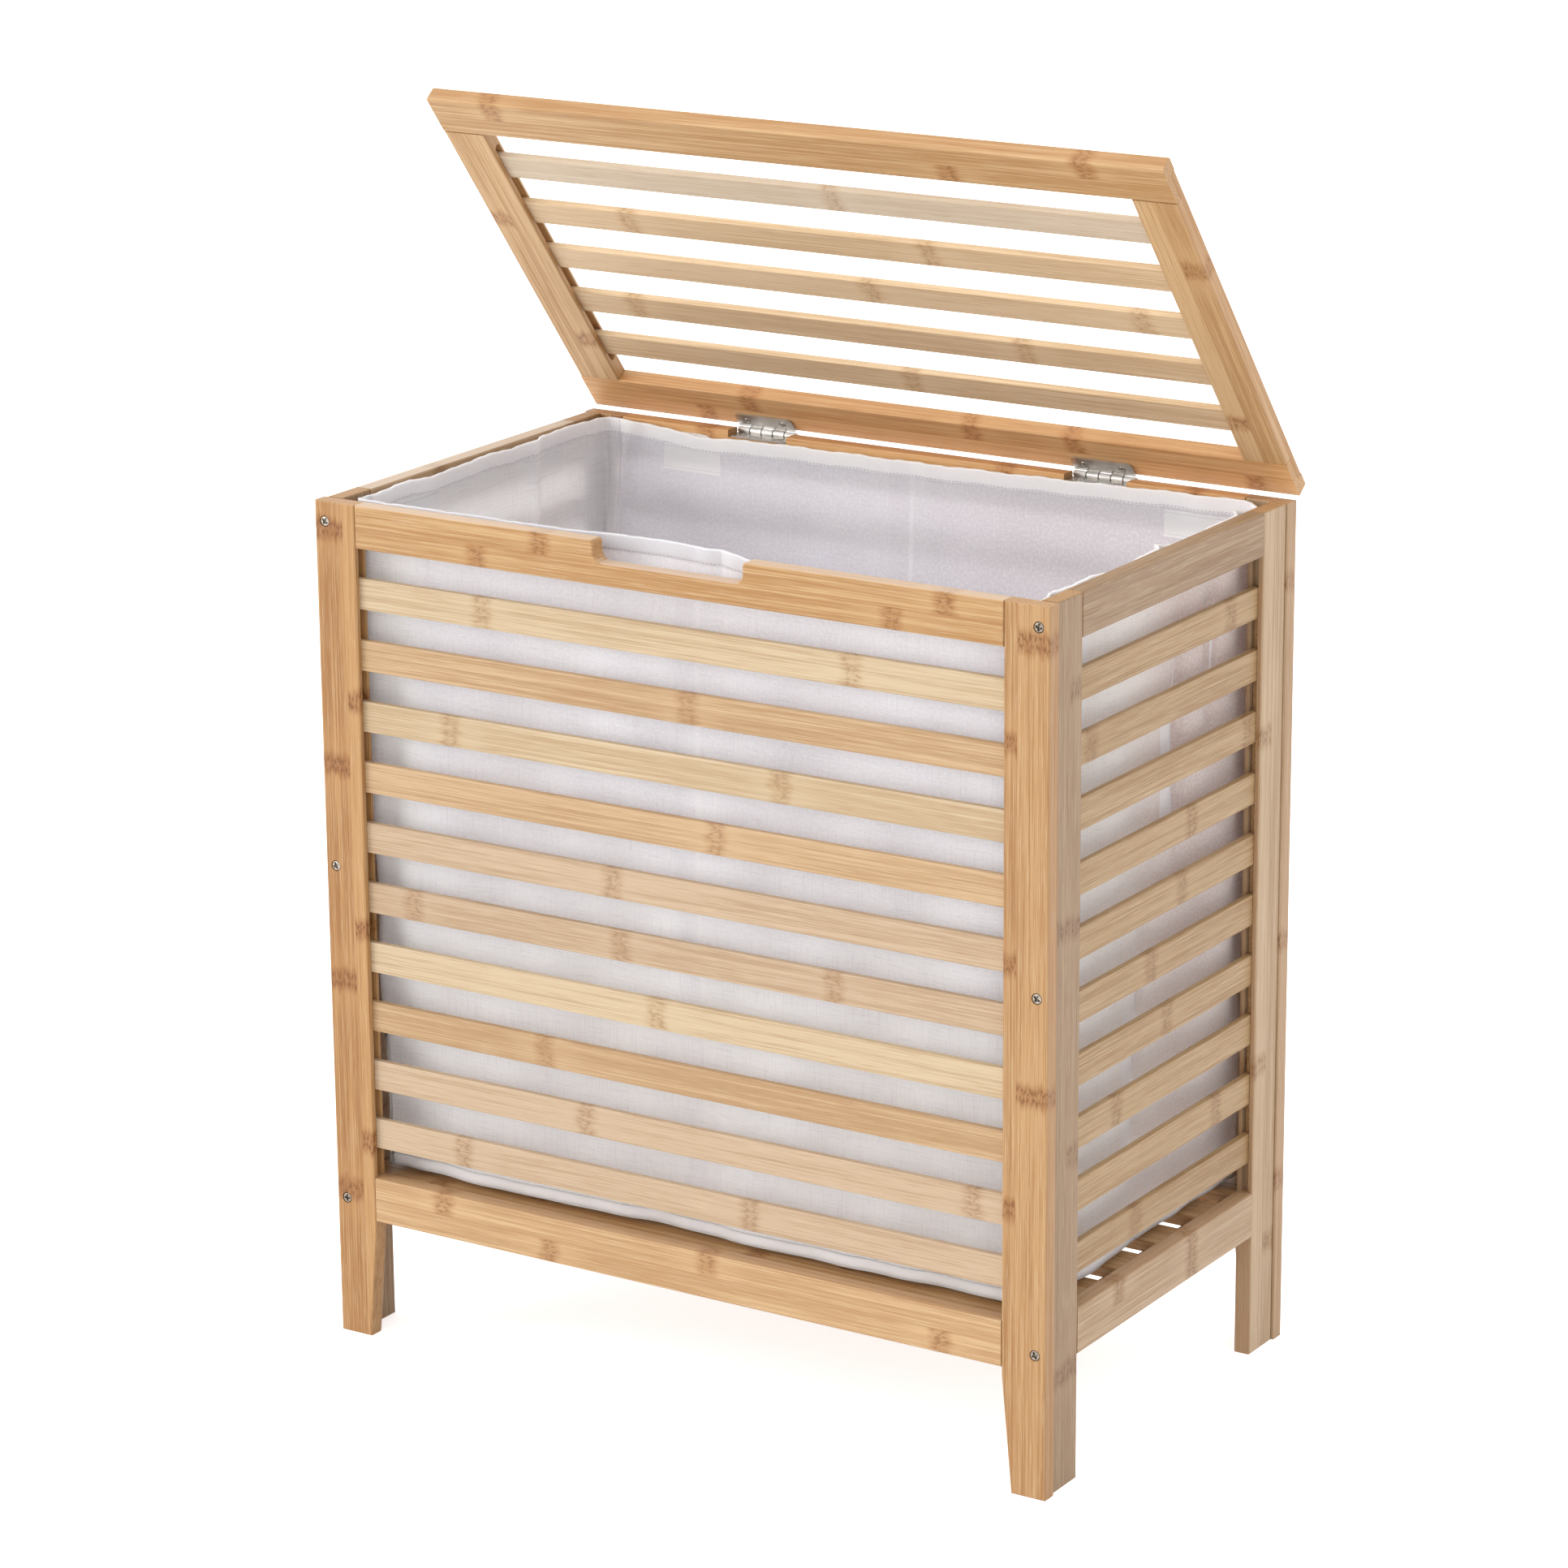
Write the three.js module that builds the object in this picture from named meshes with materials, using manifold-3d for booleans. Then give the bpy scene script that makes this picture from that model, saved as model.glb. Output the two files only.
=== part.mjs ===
import * as THREE from 'three';
import { mergeVertices } from 'three/addons/utils/BufferGeometryUtils.js';
import Module from 'manifold-3d';

// Slatted bamboo laundry hamper with a hinged lid and one cloth liner.
// Millimetres. X runs left to right, Y front to back, Z up from the floor.
// Each frame is a pair of uprights with a top rail, a bottom rail and slats between them.

const wasm = await Module();
wasm.setup();

// Overall sizes
const bodyWidth = 607;
const bodyDepth = 356;
const bodyHeight = 640;
const lidDepth = 340;
const lidOpenDegrees = 51.6;

// Bamboo stock
const frameThickness = 13.2;
const edgeRadius = 1.2;
const postWidth = 35;
const footWidth = 27;
const taperHeight = 88;
const stileWidth = 34;
const sideInset = 1.5;
const topRailHeight = 32;
const bottomRailHeight = 34.5;
const bottomRailUnderside = 93;

// Slats and the grooves that hold their ends
const slatCount = 10;
const slatHeight = 23;
const slatThickness = 5.4;
const slatSetback = 4;
const slatEdgeRadius = 0.8;
const grooveDepth = 6;
const grooveRunIn = 9;
const spineWidth = 1.5;

// Finger notch in the front top rail
const notchWidth = 124;
const notchDepth = 16;
const notchCornerRadius = 8;
const notchLipRadius = 3;

// Lid
const lidThickness = 12;
const lidRailWidth = 34;
const lidStileWidth = 35;
const lidSlatCount = 5;
const lidSlatHeight = 22.5;
const lapReach = 22;
const lapThickness = 5.8;

// Base boards and the cleats under them
const boardCount = 6;
const boardWidth = 35;
const boardThickness = 9;
const boardTop = 125;
const cleatWidth = 15;
const cleatHeight = 15;

// Butt hinges
const hingeLength = 50.8;
const hingeSpacing = 292;
const leafReach = 16.4;
const leafThickness = 1.2;
const leafCornerRadius = 3;
const knuckleRadius = 2.7;
const knuckleCount = 5;
const pinRadius = 1.3;
const pinBoreRadius = 1.5;
const pinHeadRadius = 2.2;
const pinHeadThickness = 0.8;
const pinSetback = 3.2;
const hingeNotchPlay = 0.6;

// Screws
const frameScrewInset = 8.5;
const frameScrewLowest = 107;
const frameScrewTopDrop = 15;
const frameScrewRows = 3;
const frameScrewHeadRadius = 4;
const frameScrewHeadDepth = 3.4;
const frameScrewShankRadius = 2;
const frameScrewLength = 38;
const frameScrewSink = 0.6;
const hingeScrewHeadRadius = 2.9;
const hingeScrewHeadDepth = 1.5;
const hingeScrewShankRadius = 1.2;
const hingeScrewLength = 8.5;
const hingeScrewPitch = 32;
const hingeScrewReach = 9.8;
const screwRim = 0.4;

// Cloth liner, and the room for the hook-and-loop pads that hang it from the top rails
const linerWall = 1.6;
const linerTopDrop = 8;
const linerCornerRadius = 16;
const padThickness = 2.4;

// Clearances
const seatGap = 0.3;
const cutOverrun = 2;
const knuckleGap = 0.35;

// Curve fineness: half the steps in an arc of an outline, and the rings of an eased edge
const edgeSteps = 1;
const roundSteps = 2;
const easeRings = 2;
const screwSides = 10;
const knuckleSides = 16;

// Materials
const bamboo = () => new THREE.MeshStandardMaterial({ color: 0xd3a873, roughness: 0.52, metalness: 0 });
const paleBamboo = () => new THREE.MeshStandardMaterial({ color: 0xdcbb8a, roughness: 0.55, metalness: 0 });
const nickel = () => new THREE.MeshStandardMaterial({ color: 0xc9c9c6, roughness: 0.25, metalness: 1 });
const zinc = () => new THREE.MeshStandardMaterial({ color: 0xb4b3ae, roughness: 0.35, metalness: 1 });
const cotton = () => new THREE.MeshStandardMaterial({ color: 0xe9e7e6, roughness: 0.95, metalness: 0 });

// Places that several pieces share
const bottomRailTop = bottomRailUnderside + bottomRailHeight;
const topRailUnderside = bodyHeight - topRailHeight;
const longFrontFace = bodyDepth / 2;
const sideOuterFace = bodyWidth / 2 - sideInset;
const sideInnerFace = sideOuterFace - frameThickness;
const longInnerFace = longFrontFace - frameThickness;
const grooveWidth = slatThickness + 2 * seatGap;
const slatBite = grooveDepth - seatGap;
const lidUnderside = bodyHeight + seatGap;
const pinHeight = lidUnderside - seatGap - knuckleRadius;
const pinDepth = longFrontFace + pinSetback;

function solidFrom(geometry) {
  const bare = geometry.clone();
  bare.deleteAttribute('normal');
  bare.deleteAttribute('uv');
  const merged = mergeVertices(bare);
  const vertProperties = new Float32Array(merged.attributes.position.array);
  const triVerts = new Uint32Array(merged.index.array);
  return new wasm.Manifold(new wasm.Mesh({ numProp: 3, vertProperties, triVerts }));
}

function geometryFrom(solid) {
  const mesh = solid.getMesh();
  const geometry = new THREE.BufferGeometry();
  geometry.setAttribute('position', new THREE.BufferAttribute(new Float32Array(mesh.vertProperties), 3));
  geometry.setIndex(new THREE.BufferAttribute(new Uint32Array(mesh.triVerts), 1));
  const flat = geometry.toNonIndexed();
  flat.computeVertexNormals();
  return flat;
}

function cut(geometry, tools) {
  let solid = solidFrom(geometry);
  for (const tool of tools) solid = solid.subtract(solidFrom(tool));
  return geometryFrom(solid);
}

function join(geometries) {
  let solid = solidFrom(geometries[0]);
  for (const geometry of geometries.slice(1)) solid = solid.add(solidFrom(geometry));
  return geometryFrom(solid);
}

function roundedOutline(width, height, radius) {
  const x = width / 2;
  const y = height / 2;
  const outline = new THREE.Shape();
  outline.absarc(x - radius, y - radius, radius, 0, Math.PI / 2);
  outline.absarc(radius - x, y - radius, radius, Math.PI / 2, Math.PI);
  outline.absarc(radius - x, radius - y, radius, Math.PI, 1.5 * Math.PI);
  outline.absarc(x - radius, radius - y, radius, 1.5 * Math.PI, 2 * Math.PI);
  outline.closePath();
  return outline;
}

function extruded(outline, depth, steps = edgeSteps) {
  const geometry = new THREE.ExtrudeGeometry(outline, { depth, bevelEnabled: false, curveSegments: steps });
  return geometry.translate(0, 0, -depth / 2);
}

// A flat plate whose outline lies in X and Z, with eased edges, centred on its thickness along Y.
function easedPlate(outline, thickness, radius) {
  const geometry = new THREE.ExtrudeGeometry(outline, {
    depth: thickness - 2 * radius,
    bevelThickness: radius,
    bevelSize: radius,
    bevelOffset: -radius,
    bevelSegments: easeRings,
    curveSegments: roundSteps,
  });
  return geometry.translate(0, 0, radius - thickness / 2).rotateX(Math.PI / 2);
}

// Stock with eased long edges, centred on the origin and running along X or along Y.
function stockAlongX(length, height, thickness, radius = edgeRadius) {
  return extruded(roundedOutline(height, thickness, radius), length).rotateY(Math.PI / 2);
}

function stockAlongY(length, height, thickness, radius = edgeRadius) {
  return extruded(roundedOutline(thickness, height, radius), length).rotateX(-Math.PI / 2);
}

function block(width, depth, height) {
  return new THREE.BoxGeometry(width, depth, height);
}

function screwBody(headRadius, headDepth, shankRadius, length, grow = 0) {
  const mouth = grow > 0 ? cutOverrun : 0;
  const profile = [
    new THREE.Vector2(0, -length - grow),
    new THREE.Vector2(shankRadius + grow, -length - grow),
    new THREE.Vector2(shankRadius + grow, -headDepth - grow),
    new THREE.Vector2(headRadius + grow, -screwRim - grow),
    new THREE.Vector2(headRadius + grow, mouth),
    new THREE.Vector2(0, mouth),
  ];
  return new THREE.LatheGeometry(profile, screwSides);
}

const hamper = new THREE.Group();
const lid = new THREE.Group();

function place(group, name, geometry, material, at = [0, 0, 0]) {
  const mesh = new THREE.Mesh(geometry, material);
  mesh.name = name;
  mesh.position.set(...at);
  group.add(mesh);
}

const evenly = (count, first, last) =>
  Array.from({ length: count }, (_, i) => first + (i * (last - first)) / (count - 1));

// Frame screws: three through each post into the side stile behind it
const screwHeights = evenly(frameScrewRows, frameScrewLowest, bodyHeight - frameScrewTopDrop);
const screwX = bodyWidth / 2 - frameScrewInset;

function frameScrew(x, z, facing, grow = 0) {
  const screw = screwBody(
    frameScrewHeadRadius, frameScrewHeadDepth, frameScrewShankRadius, frameScrewLength, grow);
  if (facing > 0) screw.rotateX(Math.PI);
  return screw.translate(x, -facing * (longFrontFace - frameScrewSink), z);
}

function frameScrewSet(facing, grow = 0, sides = [-1, 1]) {
  return sides.flatMap((side) => screwHeights.map((z) => frameScrew(side * screwX, z, facing, grow)));
}

// Posts: full-height uprights of the front and back frames, their feet tapered on the inner edge
function post(side, facing) {
  const outer = (side * bodyWidth) / 2;
  const outline = new THREE.Shape();
  outline.moveTo(outer, 0);
  outline.lineTo(outer - side * footWidth, 0);
  outline.lineTo(outer - side * postWidth, taperHeight);
  outline.lineTo(outer - side * postWidth, bodyHeight);
  outline.lineTo(outer, bodyHeight);
  outline.closePath();
  const plate = easedPlate(outline, frameThickness, edgeRadius);
  plate.translate(0, -facing * (longFrontFace - frameThickness / 2), 0);
  const groove = block(grooveDepth + cutOverrun, grooveWidth, topRailUnderside - bottomRailTop);
  groove.translate(
    outer - side * (postWidth - grooveDepth / 2 + cutOverrun / 2),
    -facing * (longFrontFace - slatSetback - slatThickness / 2),
    (topRailUnderside + bottomRailTop) / 2,
  );
  return cut(plate, [groove, ...frameScrewSet(facing, seatGap, [side])]);
}

const sides = [['left', -1], ['right', 1]];
const faces = [['front', 1], ['back', -1]];

for (const [faceName, facing] of faces) {
  for (const [sideName, side] of sides) {
    place(hamper, `${faceName}_post_${sideName}`, post(side, facing), bamboo());
  }
}

// Rails of the front and back frames
const longRailLength = bodyWidth - 2 * (postWidth + seatGap);
const longRailDepth = longFrontFace - frameThickness / 2;
const topRailCentre = bodyHeight - topRailHeight / 2;
const bottomRailCentre = bottomRailUnderside + bottomRailHeight / 2;

function notchedRail() {
  const x = longRailLength / 2;
  const z = topRailHeight / 2;
  const mouth = notchWidth / 2;
  const floor = z - notchDepth;
  const quarter = Math.PI / 2;
  const outline = new THREE.Shape();
  outline.moveTo(-x, -z);
  outline.lineTo(x, -z);
  outline.lineTo(x, z);
  outline.lineTo(mouth + notchLipRadius, z);
  outline.absarc(mouth + notchLipRadius, z - notchLipRadius, notchLipRadius, quarter, 2 * quarter);
  outline.absarc(mouth - notchCornerRadius, floor + notchCornerRadius, notchCornerRadius, 0, -quarter, true);
  outline.absarc(notchCornerRadius - mouth, floor + notchCornerRadius, notchCornerRadius,
    -quarter, -2 * quarter, true);
  outline.absarc(-mouth - notchLipRadius, z - notchLipRadius, notchLipRadius, 0, quarter);
  outline.lineTo(-x, z);
  outline.closePath();
  return easedPlate(outline, frameThickness, edgeRadius);
}

// Butt hinges: two pairs of leaves on the back top rail and under the lid's back rail
const hingePlaces = [-hingeSpacing / 2, hingeSpacing / 2];
const knuckleLength = (hingeLength - (knuckleCount - 1) * knuckleGap) / knuckleCount;
const hingeScrewOffsets = [-hingeScrewPitch / 2, hingeScrewPitch / 2];

function circle(radius, hole = 0) {
  const outline = new THREE.Shape();
  outline.absarc(0, 0, radius, 0, 2 * Math.PI);
  if (hole > 0) {
    const bore = new THREE.Path();
    bore.absarc(0, 0, hole, 0, 2 * Math.PI, true);
    outline.holes.push(bore);
  }
  return outline;
}

// A hinge screw stands upright, its head flush with the leaf; facing 1 looks up and -1 looks down.
function hingeScrew(x, facing, grow = 0) {
  const screw = screwBody(
    hingeScrewHeadRadius, hingeScrewHeadDepth, hingeScrewShankRadius, hingeScrewLength, grow);
  screw.rotateX((facing * Math.PI) / 2);
  return screw.translate(x, -hingeScrewReach, -facing * (knuckleRadius - leafThickness));
}

function hingeScrews(facing, grow = 0) {
  return hingePlaces.flatMap((x) => hingeScrewOffsets.map((dx) => hingeScrew(x + dx, facing, grow)));
}

// A leaf about its pin axis: facing 1 lies under the pin and -1 lies over it.
function hingeLeaf(facing, ownKnuckles) {
  const plateDepth = leafReach - knuckleRadius - knuckleGap;
  const x = hingeLength / 2;
  const quarter = Math.PI / 2;
  const outline = new THREE.Shape();
  outline.moveTo(x, 0);
  outline.lineTo(x, plateDepth - leafCornerRadius);
  outline.absarc(x - leafCornerRadius, plateDepth - leafCornerRadius, leafCornerRadius, 0, quarter);
  outline.absarc(leafCornerRadius - x, plateDepth - leafCornerRadius, leafCornerRadius, quarter, 2 * quarter);
  outline.lineTo(-x, 0);
  outline.closePath();
  const level = -facing * (knuckleRadius - leafThickness / 2);
  const plate = extruded(outline, leafThickness).rotateX(Math.PI);
  plate.translate(0, plateDepth - leafReach, level);
  const pieces = [plate];
  for (const index of ownKnuckles) {
    const centre = -hingeLength / 2 + knuckleLength / 2 + index * (knuckleLength + knuckleGap);
    const ring = new THREE.ExtrudeGeometry(circle(knuckleRadius, pinBoreRadius), {
      depth: knuckleLength, bevelEnabled: false, curveSegments: knuckleSides / 2,
    });
    ring.translate(0, 0, -knuckleLength / 2).rotateY(Math.PI / 2);
    const tabDepth = leafReach - plateDepth + leafThickness;
    const tab = block(knuckleLength, tabDepth, leafThickness);
    tab.translate(0, -tabDepth / 2, level);
    const bore = new THREE.CylinderGeometry(
      pinBoreRadius, pinBoreRadius, knuckleLength + cutOverrun, knuckleSides);
    const knuckle = cut(join([ring, tab]), [bore.rotateZ(Math.PI / 2)]);
    pieces.push(knuckle.translate(centre, 0, 0));
  }
  const holes = hingeScrewOffsets.map((dx) => hingeScrew(dx, facing, seatGap));
  return cut(join(pieces), holes);
}

const evenKnuckles = Array.from({ length: knuckleCount }, (_, i) => i).filter((i) => i % 2 === 0);
const oddKnuckles = Array.from({ length: knuckleCount }, (_, i) => i).filter((i) => i % 2 === 1);

function hingePin() {
  const reach = hingeLength + knuckleGap + pinHeadThickness;
  const shaft = new THREE.CylinderGeometry(pinRadius, pinRadius, reach, knuckleSides);
  const heads = [-1, 1].map((end) => {
    const head = new THREE.CylinderGeometry(pinHeadRadius, pinHeadRadius, pinHeadThickness, knuckleSides);
    return head.translate(0, (end * reach) / 2, 0);
  });
  return join([shaft, ...heads]).rotateZ(Math.PI / 2);
}

// Notches in the back top rail that take the lower leaves, one seat gap under each leaf
const hingeNotchFloor = pinHeight - knuckleRadius - seatGap;
const hingeNotches = hingePlaces.map((x) => {
  const height = bodyHeight - hingeNotchFloor + cutOverrun;
  const notch = block(hingeLength + 2 * hingeNotchPlay, frameThickness + 2 * cutOverrun, height);
  return notch.translate(x, longRailDepth, hingeNotchFloor + height / 2);
});
const lowerHingePockets = hingeScrews(1, seatGap).map((screw) => screw.translate(0, pinDepth, pinHeight));

place(hamper, 'front_top_rail', notchedRail(), bamboo(), [0, -longRailDepth, topRailCentre]);
const backTopRail = stockAlongX(longRailLength, topRailHeight, frameThickness);
backTopRail.translate(0, longRailDepth, topRailCentre);
place(hamper, 'back_top_rail', cut(backTopRail, [...hingeNotches, ...lowerHingePockets]), bamboo());
for (const [faceName, facing] of faces) {
  const rail = stockAlongX(longRailLength, bottomRailHeight, frameThickness);
  place(hamper, `${faceName}_bottom_rail`, rail, bamboo(), [0, -facing * longRailDepth, bottomRailCentre]);
}

// Slats: evenly spaced between the rails, their ends in the uprights' grooves
const slatGap = (topRailUnderside - bottomRailTop - slatCount * slatHeight) / (slatCount + 1);
const slatLevels = Array.from({ length: slatCount },
  (_, i) => topRailUnderside - slatGap - slatHeight / 2 - i * (slatHeight + slatGap));
const longSlatLength = bodyWidth - 2 * (postWidth - slatBite);
const longSlatDepth = longFrontFace - slatSetback - slatThickness / 2;

slatLevels.forEach((z, i) => {
  const slat = stockAlongX(longSlatLength, slatHeight, slatThickness, slatEdgeRadius);
  const name = `front_slat_${String(i + 1).padStart(2, '0')}`;
  place(hamper, name, slat, paleBamboo(), [0, -longSlatDepth, z]);
});

// A slat panel keeps its slats together on a thin spine at the bottom of each groove.
function slatPanel(length) {
  const slats = slatLevels.map((z) =>
    stockAlongX(length, slatHeight, slatThickness, slatEdgeRadius).translate(0, 0, z));
  const spines = [-1, 1].map((end) => {
    const reach = slatLevels[0] - slatLevels[slatCount - 1];
    const spine = block(spineWidth, slatThickness - 2 * slatEdgeRadius, reach);
    return spine.translate((end * (length - spineWidth)) / 2, 0, slatLevels[0] - reach / 2);
  });
  return join([...slats, ...spines]);
}

place(hamper, 'back_slats', slatPanel(longSlatLength), paleBamboo(), [0, longSlatDepth, 0]);

// Side frames: two stiles, two rails and ten slats between the front and back frames
const sideDepth = sideOuterFace - frameThickness / 2;
const stileOffset = longInnerFace - seatGap - stileWidth / 2;
const shortRailLength = 2 * (stileOffset - stileWidth / 2 - seatGap);
const shortSlatLength = 2 * (stileOffset - stileWidth / 2 + slatBite);
const shortSlatDepth = sideOuterFace - slatSetback - slatThickness / 2;

function stile(side, facing) {
  const outline = new THREE.Shape();
  outline.moveTo(-stileWidth / 2, 0);
  outline.lineTo(stileWidth / 2, 0);
  outline.lineTo(stileWidth / 2, bodyHeight);
  outline.lineTo(-stileWidth / 2, bodyHeight);
  outline.closePath();
  const plate = easedPlate(outline, frameThickness, edgeRadius).rotateZ(Math.PI / 2);
  plate.translate(side * sideDepth, -facing * stileOffset, 0);
  const groove = block(grooveWidth, grooveDepth + cutOverrun, topRailUnderside - bottomRailTop);
  groove.translate(
    side * shortSlatDepth,
    -facing * (stileOffset - stileWidth / 2 + grooveDepth / 2 - cutOverrun / 2),
    (topRailUnderside + bottomRailTop) / 2,
  );
  return cut(plate, [groove, ...frameScrewSet(facing, seatGap, [side])]);
}

for (const [sideName, side] of sides) {
  for (const [faceName, facing] of faces) {
    place(hamper, `${sideName}_${faceName}_stile`, stile(side, facing), bamboo());
  }
  const topRail = stockAlongY(shortRailLength, topRailHeight, frameThickness);
  const bottomRail = stockAlongY(shortRailLength, bottomRailHeight, frameThickness);
  place(hamper, `${sideName}_top_rail`, topRail, bamboo(), [side * sideDepth, 0, topRailCentre]);
  place(hamper, `${sideName}_bottom_rail`, bottomRail, bamboo(), [side * sideDepth, 0, bottomRailCentre]);
  const panel = slatPanel(shortSlatLength).rotateZ(Math.PI / 2);
  place(hamper, `${sideName}_slats`, panel, paleBamboo(), [side * shortSlatDepth, 0, 0]);
  screwHeights.forEach((z, i) => {
    place(hamper, `frame_screw_${sideName}_${i + 1}`, frameScrew(side * screwX, z, 1), zinc());
  });
}

// Base: boards across the width, carried by a cleat inside each side frame's bottom rail
const boardLength = 2 * (sideInnerFace - seatGap);
const boardRun = longInnerFace - seatGap - boardWidth / 2;
const boardLevel = boardTop - boardThickness / 2;
evenly(boardCount, -boardRun, boardRun).forEach((y, i) => {
  const board = stockAlongX(boardLength, boardThickness, boardWidth);
  place(hamper, `base_board_${String(i + 1).padStart(2, '0')}`, board, bamboo(), [0, y, boardLevel]);
});
const cleatLength = 2 * (longInnerFace - seatGap);
const cleatLevel = boardTop - boardThickness - seatGap - cleatHeight / 2;
for (const [sideName, side] of sides) {
  const cleat = stockAlongY(cleatLength, cleatHeight, cleatWidth);
  const x = side * (sideInnerFace - seatGap - cleatWidth / 2);
  place(hamper, `base_cleat_${sideName}`, cleat, bamboo(), [x, 0, cleatLevel]);
}

// Liner: an open cloth bag that hangs just inside the frame on pads and rests on the base boards
const linerHalfWidth = sideInnerFace - padThickness - 2 * seatGap;
const linerHalfDepth = longInnerFace - padThickness - 2 * seatGap;
const linerBottom = boardTop + seatGap;
const linerHeight = bodyHeight - linerTopDrop - linerBottom;
const linerShell = extruded(
  roundedOutline(2 * linerHalfWidth, 2 * linerHalfDepth, linerCornerRadius), linerHeight, roundSteps);
const linerCavity = extruded(
  roundedOutline(2 * (linerHalfWidth - linerWall), 2 * (linerHalfDepth - linerWall),
    linerCornerRadius - linerWall), linerHeight, roundSteps);
linerCavity.translate(0, 0, linerWall);
place(hamper, 'liner_bag', cut(linerShell, [linerCavity]), cotton(), [0, 0, linerBottom + linerHeight / 2]);

// Hinges: the lower leaves and pins stay with the body
hingePlaces.forEach((x, i) => {
  const sideName = sides[i][0];
  const at = [x, pinDepth, pinHeight];
  place(hamper, `hinge_leaf_lower_${sideName}`, hingeLeaf(1, evenKnuckles), nickel(), at);
  place(hamper, `hinge_pin_${sideName}`, hingePin(), nickel(), at);
  place(lid, `hinge_leaf_upper_${sideName}`, hingeLeaf(-1, oddKnuckles), nickel(), [x, 0, 0]);
});

// Lid, drawn closed about the pin axis: full-width rails half-lapped over two stiles, with five slats
const lidBack = -pinSetback;
const lidFront = lidBack - lidDepth;
const lidFloor = lidUnderside - pinHeight;
const lidMiddle = lidFloor + lidThickness / 2;
const lidStileX = (bodyWidth - lidStileWidth) / 2;

function lidRail(y, inward) {
  const rail = stockAlongX(bodyWidth, lidRailWidth, lidThickness).rotateX(Math.PI / 2);
  rail.translate(0, y, lidMiddle);
  const rebateWidth = lidStileWidth + seatGap;
  const rebateDepth = lapThickness + seatGap;
  const rebates = [-1, 1].map((side) => {
    const rebate = block(rebateWidth + cutOverrun, lapReach + cutOverrun, rebateDepth + cutOverrun);
    return rebate.translate(
      side * (bodyWidth / 2 - (rebateWidth - cutOverrun) / 2),
      y + inward * (lidRailWidth / 2 - (lapReach - cutOverrun) / 2),
      lidFloor + lidThickness - (rebateDepth - cutOverrun) / 2,
    );
  });
  return cut(rail, rebates);
}

const upperHingePockets = hingeScrews(-1, seatGap);
place(lid, 'lid_front_rail', lidRail(lidFront + lidRailWidth / 2, 1), bamboo());
place(lid, 'lid_back_rail', cut(lidRail(lidBack - lidRailWidth / 2, -1), upperHingePockets), bamboo());

const lidInnerFront = lidFront + lidRailWidth;
const lidInnerBack = lidBack - lidRailWidth;
const lidSlatGap = (lidInnerBack - lidInnerFront - lidSlatCount * lidSlatHeight) / (lidSlatCount + 1);
const lidSlatPlaces = Array.from({ length: lidSlatCount },
  (_, i) => lidInnerFront + lidSlatGap + lidSlatHeight / 2 + i * (lidSlatHeight + lidSlatGap));
const lidSlatLevel = lidFloor + slatSetback + slatThickness / 2;
const lidGrooveLength = lidInnerBack - lidInnerFront - 2 * (lidSlatGap - grooveRunIn);

function lidStile(side) {
  const middle = (lidInnerFront + lidInnerBack) / 2;
  const reach = lidInnerBack - lidInnerFront - 2 * seatGap;
  const bar = stockAlongY(reach, lidThickness, lidStileWidth);
  const laps = [-1, 1].map((end) => {
    const depth = lapReach + edgeRadius;
    const lap = stockAlongY(depth, lapThickness, lidStileWidth);
    const y = end * (reach + lapReach - edgeRadius) / 2;
    return lap.translate(0, y, (lidThickness - lapThickness) / 2);
  });
  const groove = extruded(roundedOutline(lidGrooveLength, grooveWidth, grooveWidth / 2),
    grooveDepth + cutOverrun, roundSteps).rotateZ(Math.PI / 2).rotateY(Math.PI / 2);
  groove.translate(
    -side * (lidStileWidth / 2 - (grooveDepth - cutOverrun) / 2), 0, lidSlatLevel - lidMiddle);
  return cut(join([bar, ...laps]), [groove]).translate(side * lidStileX, middle, lidMiddle);
}

for (const [sideName, side] of sides) place(lid, `lid_stile_${sideName}`, lidStile(side), bamboo());

const lidSlatLength = bodyWidth - 2 * (lidStileWidth - slatBite);
lidSlatPlaces.forEach((y, i) => {
  const slat = stockAlongX(lidSlatLength, lidSlatHeight, slatThickness, slatEdgeRadius);
  const name = `lid_slat_${String(i + 1).padStart(2, '0')}`;
  place(lid, name, slat.rotateX(Math.PI / 2), paleBamboo(), [0, y, lidSlatLevel]);
});

const lidOpen = THREE.MathUtils.degToRad(lidOpenDegrees);
lid.position.set(0, pinDepth, pinHeight);
lid.rotation.x = -lidOpen;
hamper.add(lid);

// The origin is on the floor, midway between the front face and the rearmost edge of the open lid
const lidRearReach = (lidBack - edgeRadius) * Math.cos(lidOpen)
  + (lidFloor + lidThickness - edgeRadius) * Math.sin(lidOpen) + edgeRadius;
hamper.position.y = (longFrontFace - pinDepth - lidRearReach) / 2;

export default hamper;
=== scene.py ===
# %% [markdown]
# # A slatted bamboo laundry hamper
# The hamper is a bamboo frame with a hinged lid and a cloth bag inside. The frame comes from the CAD model as
# exact solids. This lesson gives them their bamboo and metal finishes, and builds what CAD leaves out: the cloth
# bag, the screws with their cross recesses, and the hook-and-loop pads.

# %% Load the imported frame
import math

import bmesh
import bpy
import numpy as np
from mathutils import Matrix, Vector


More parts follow.
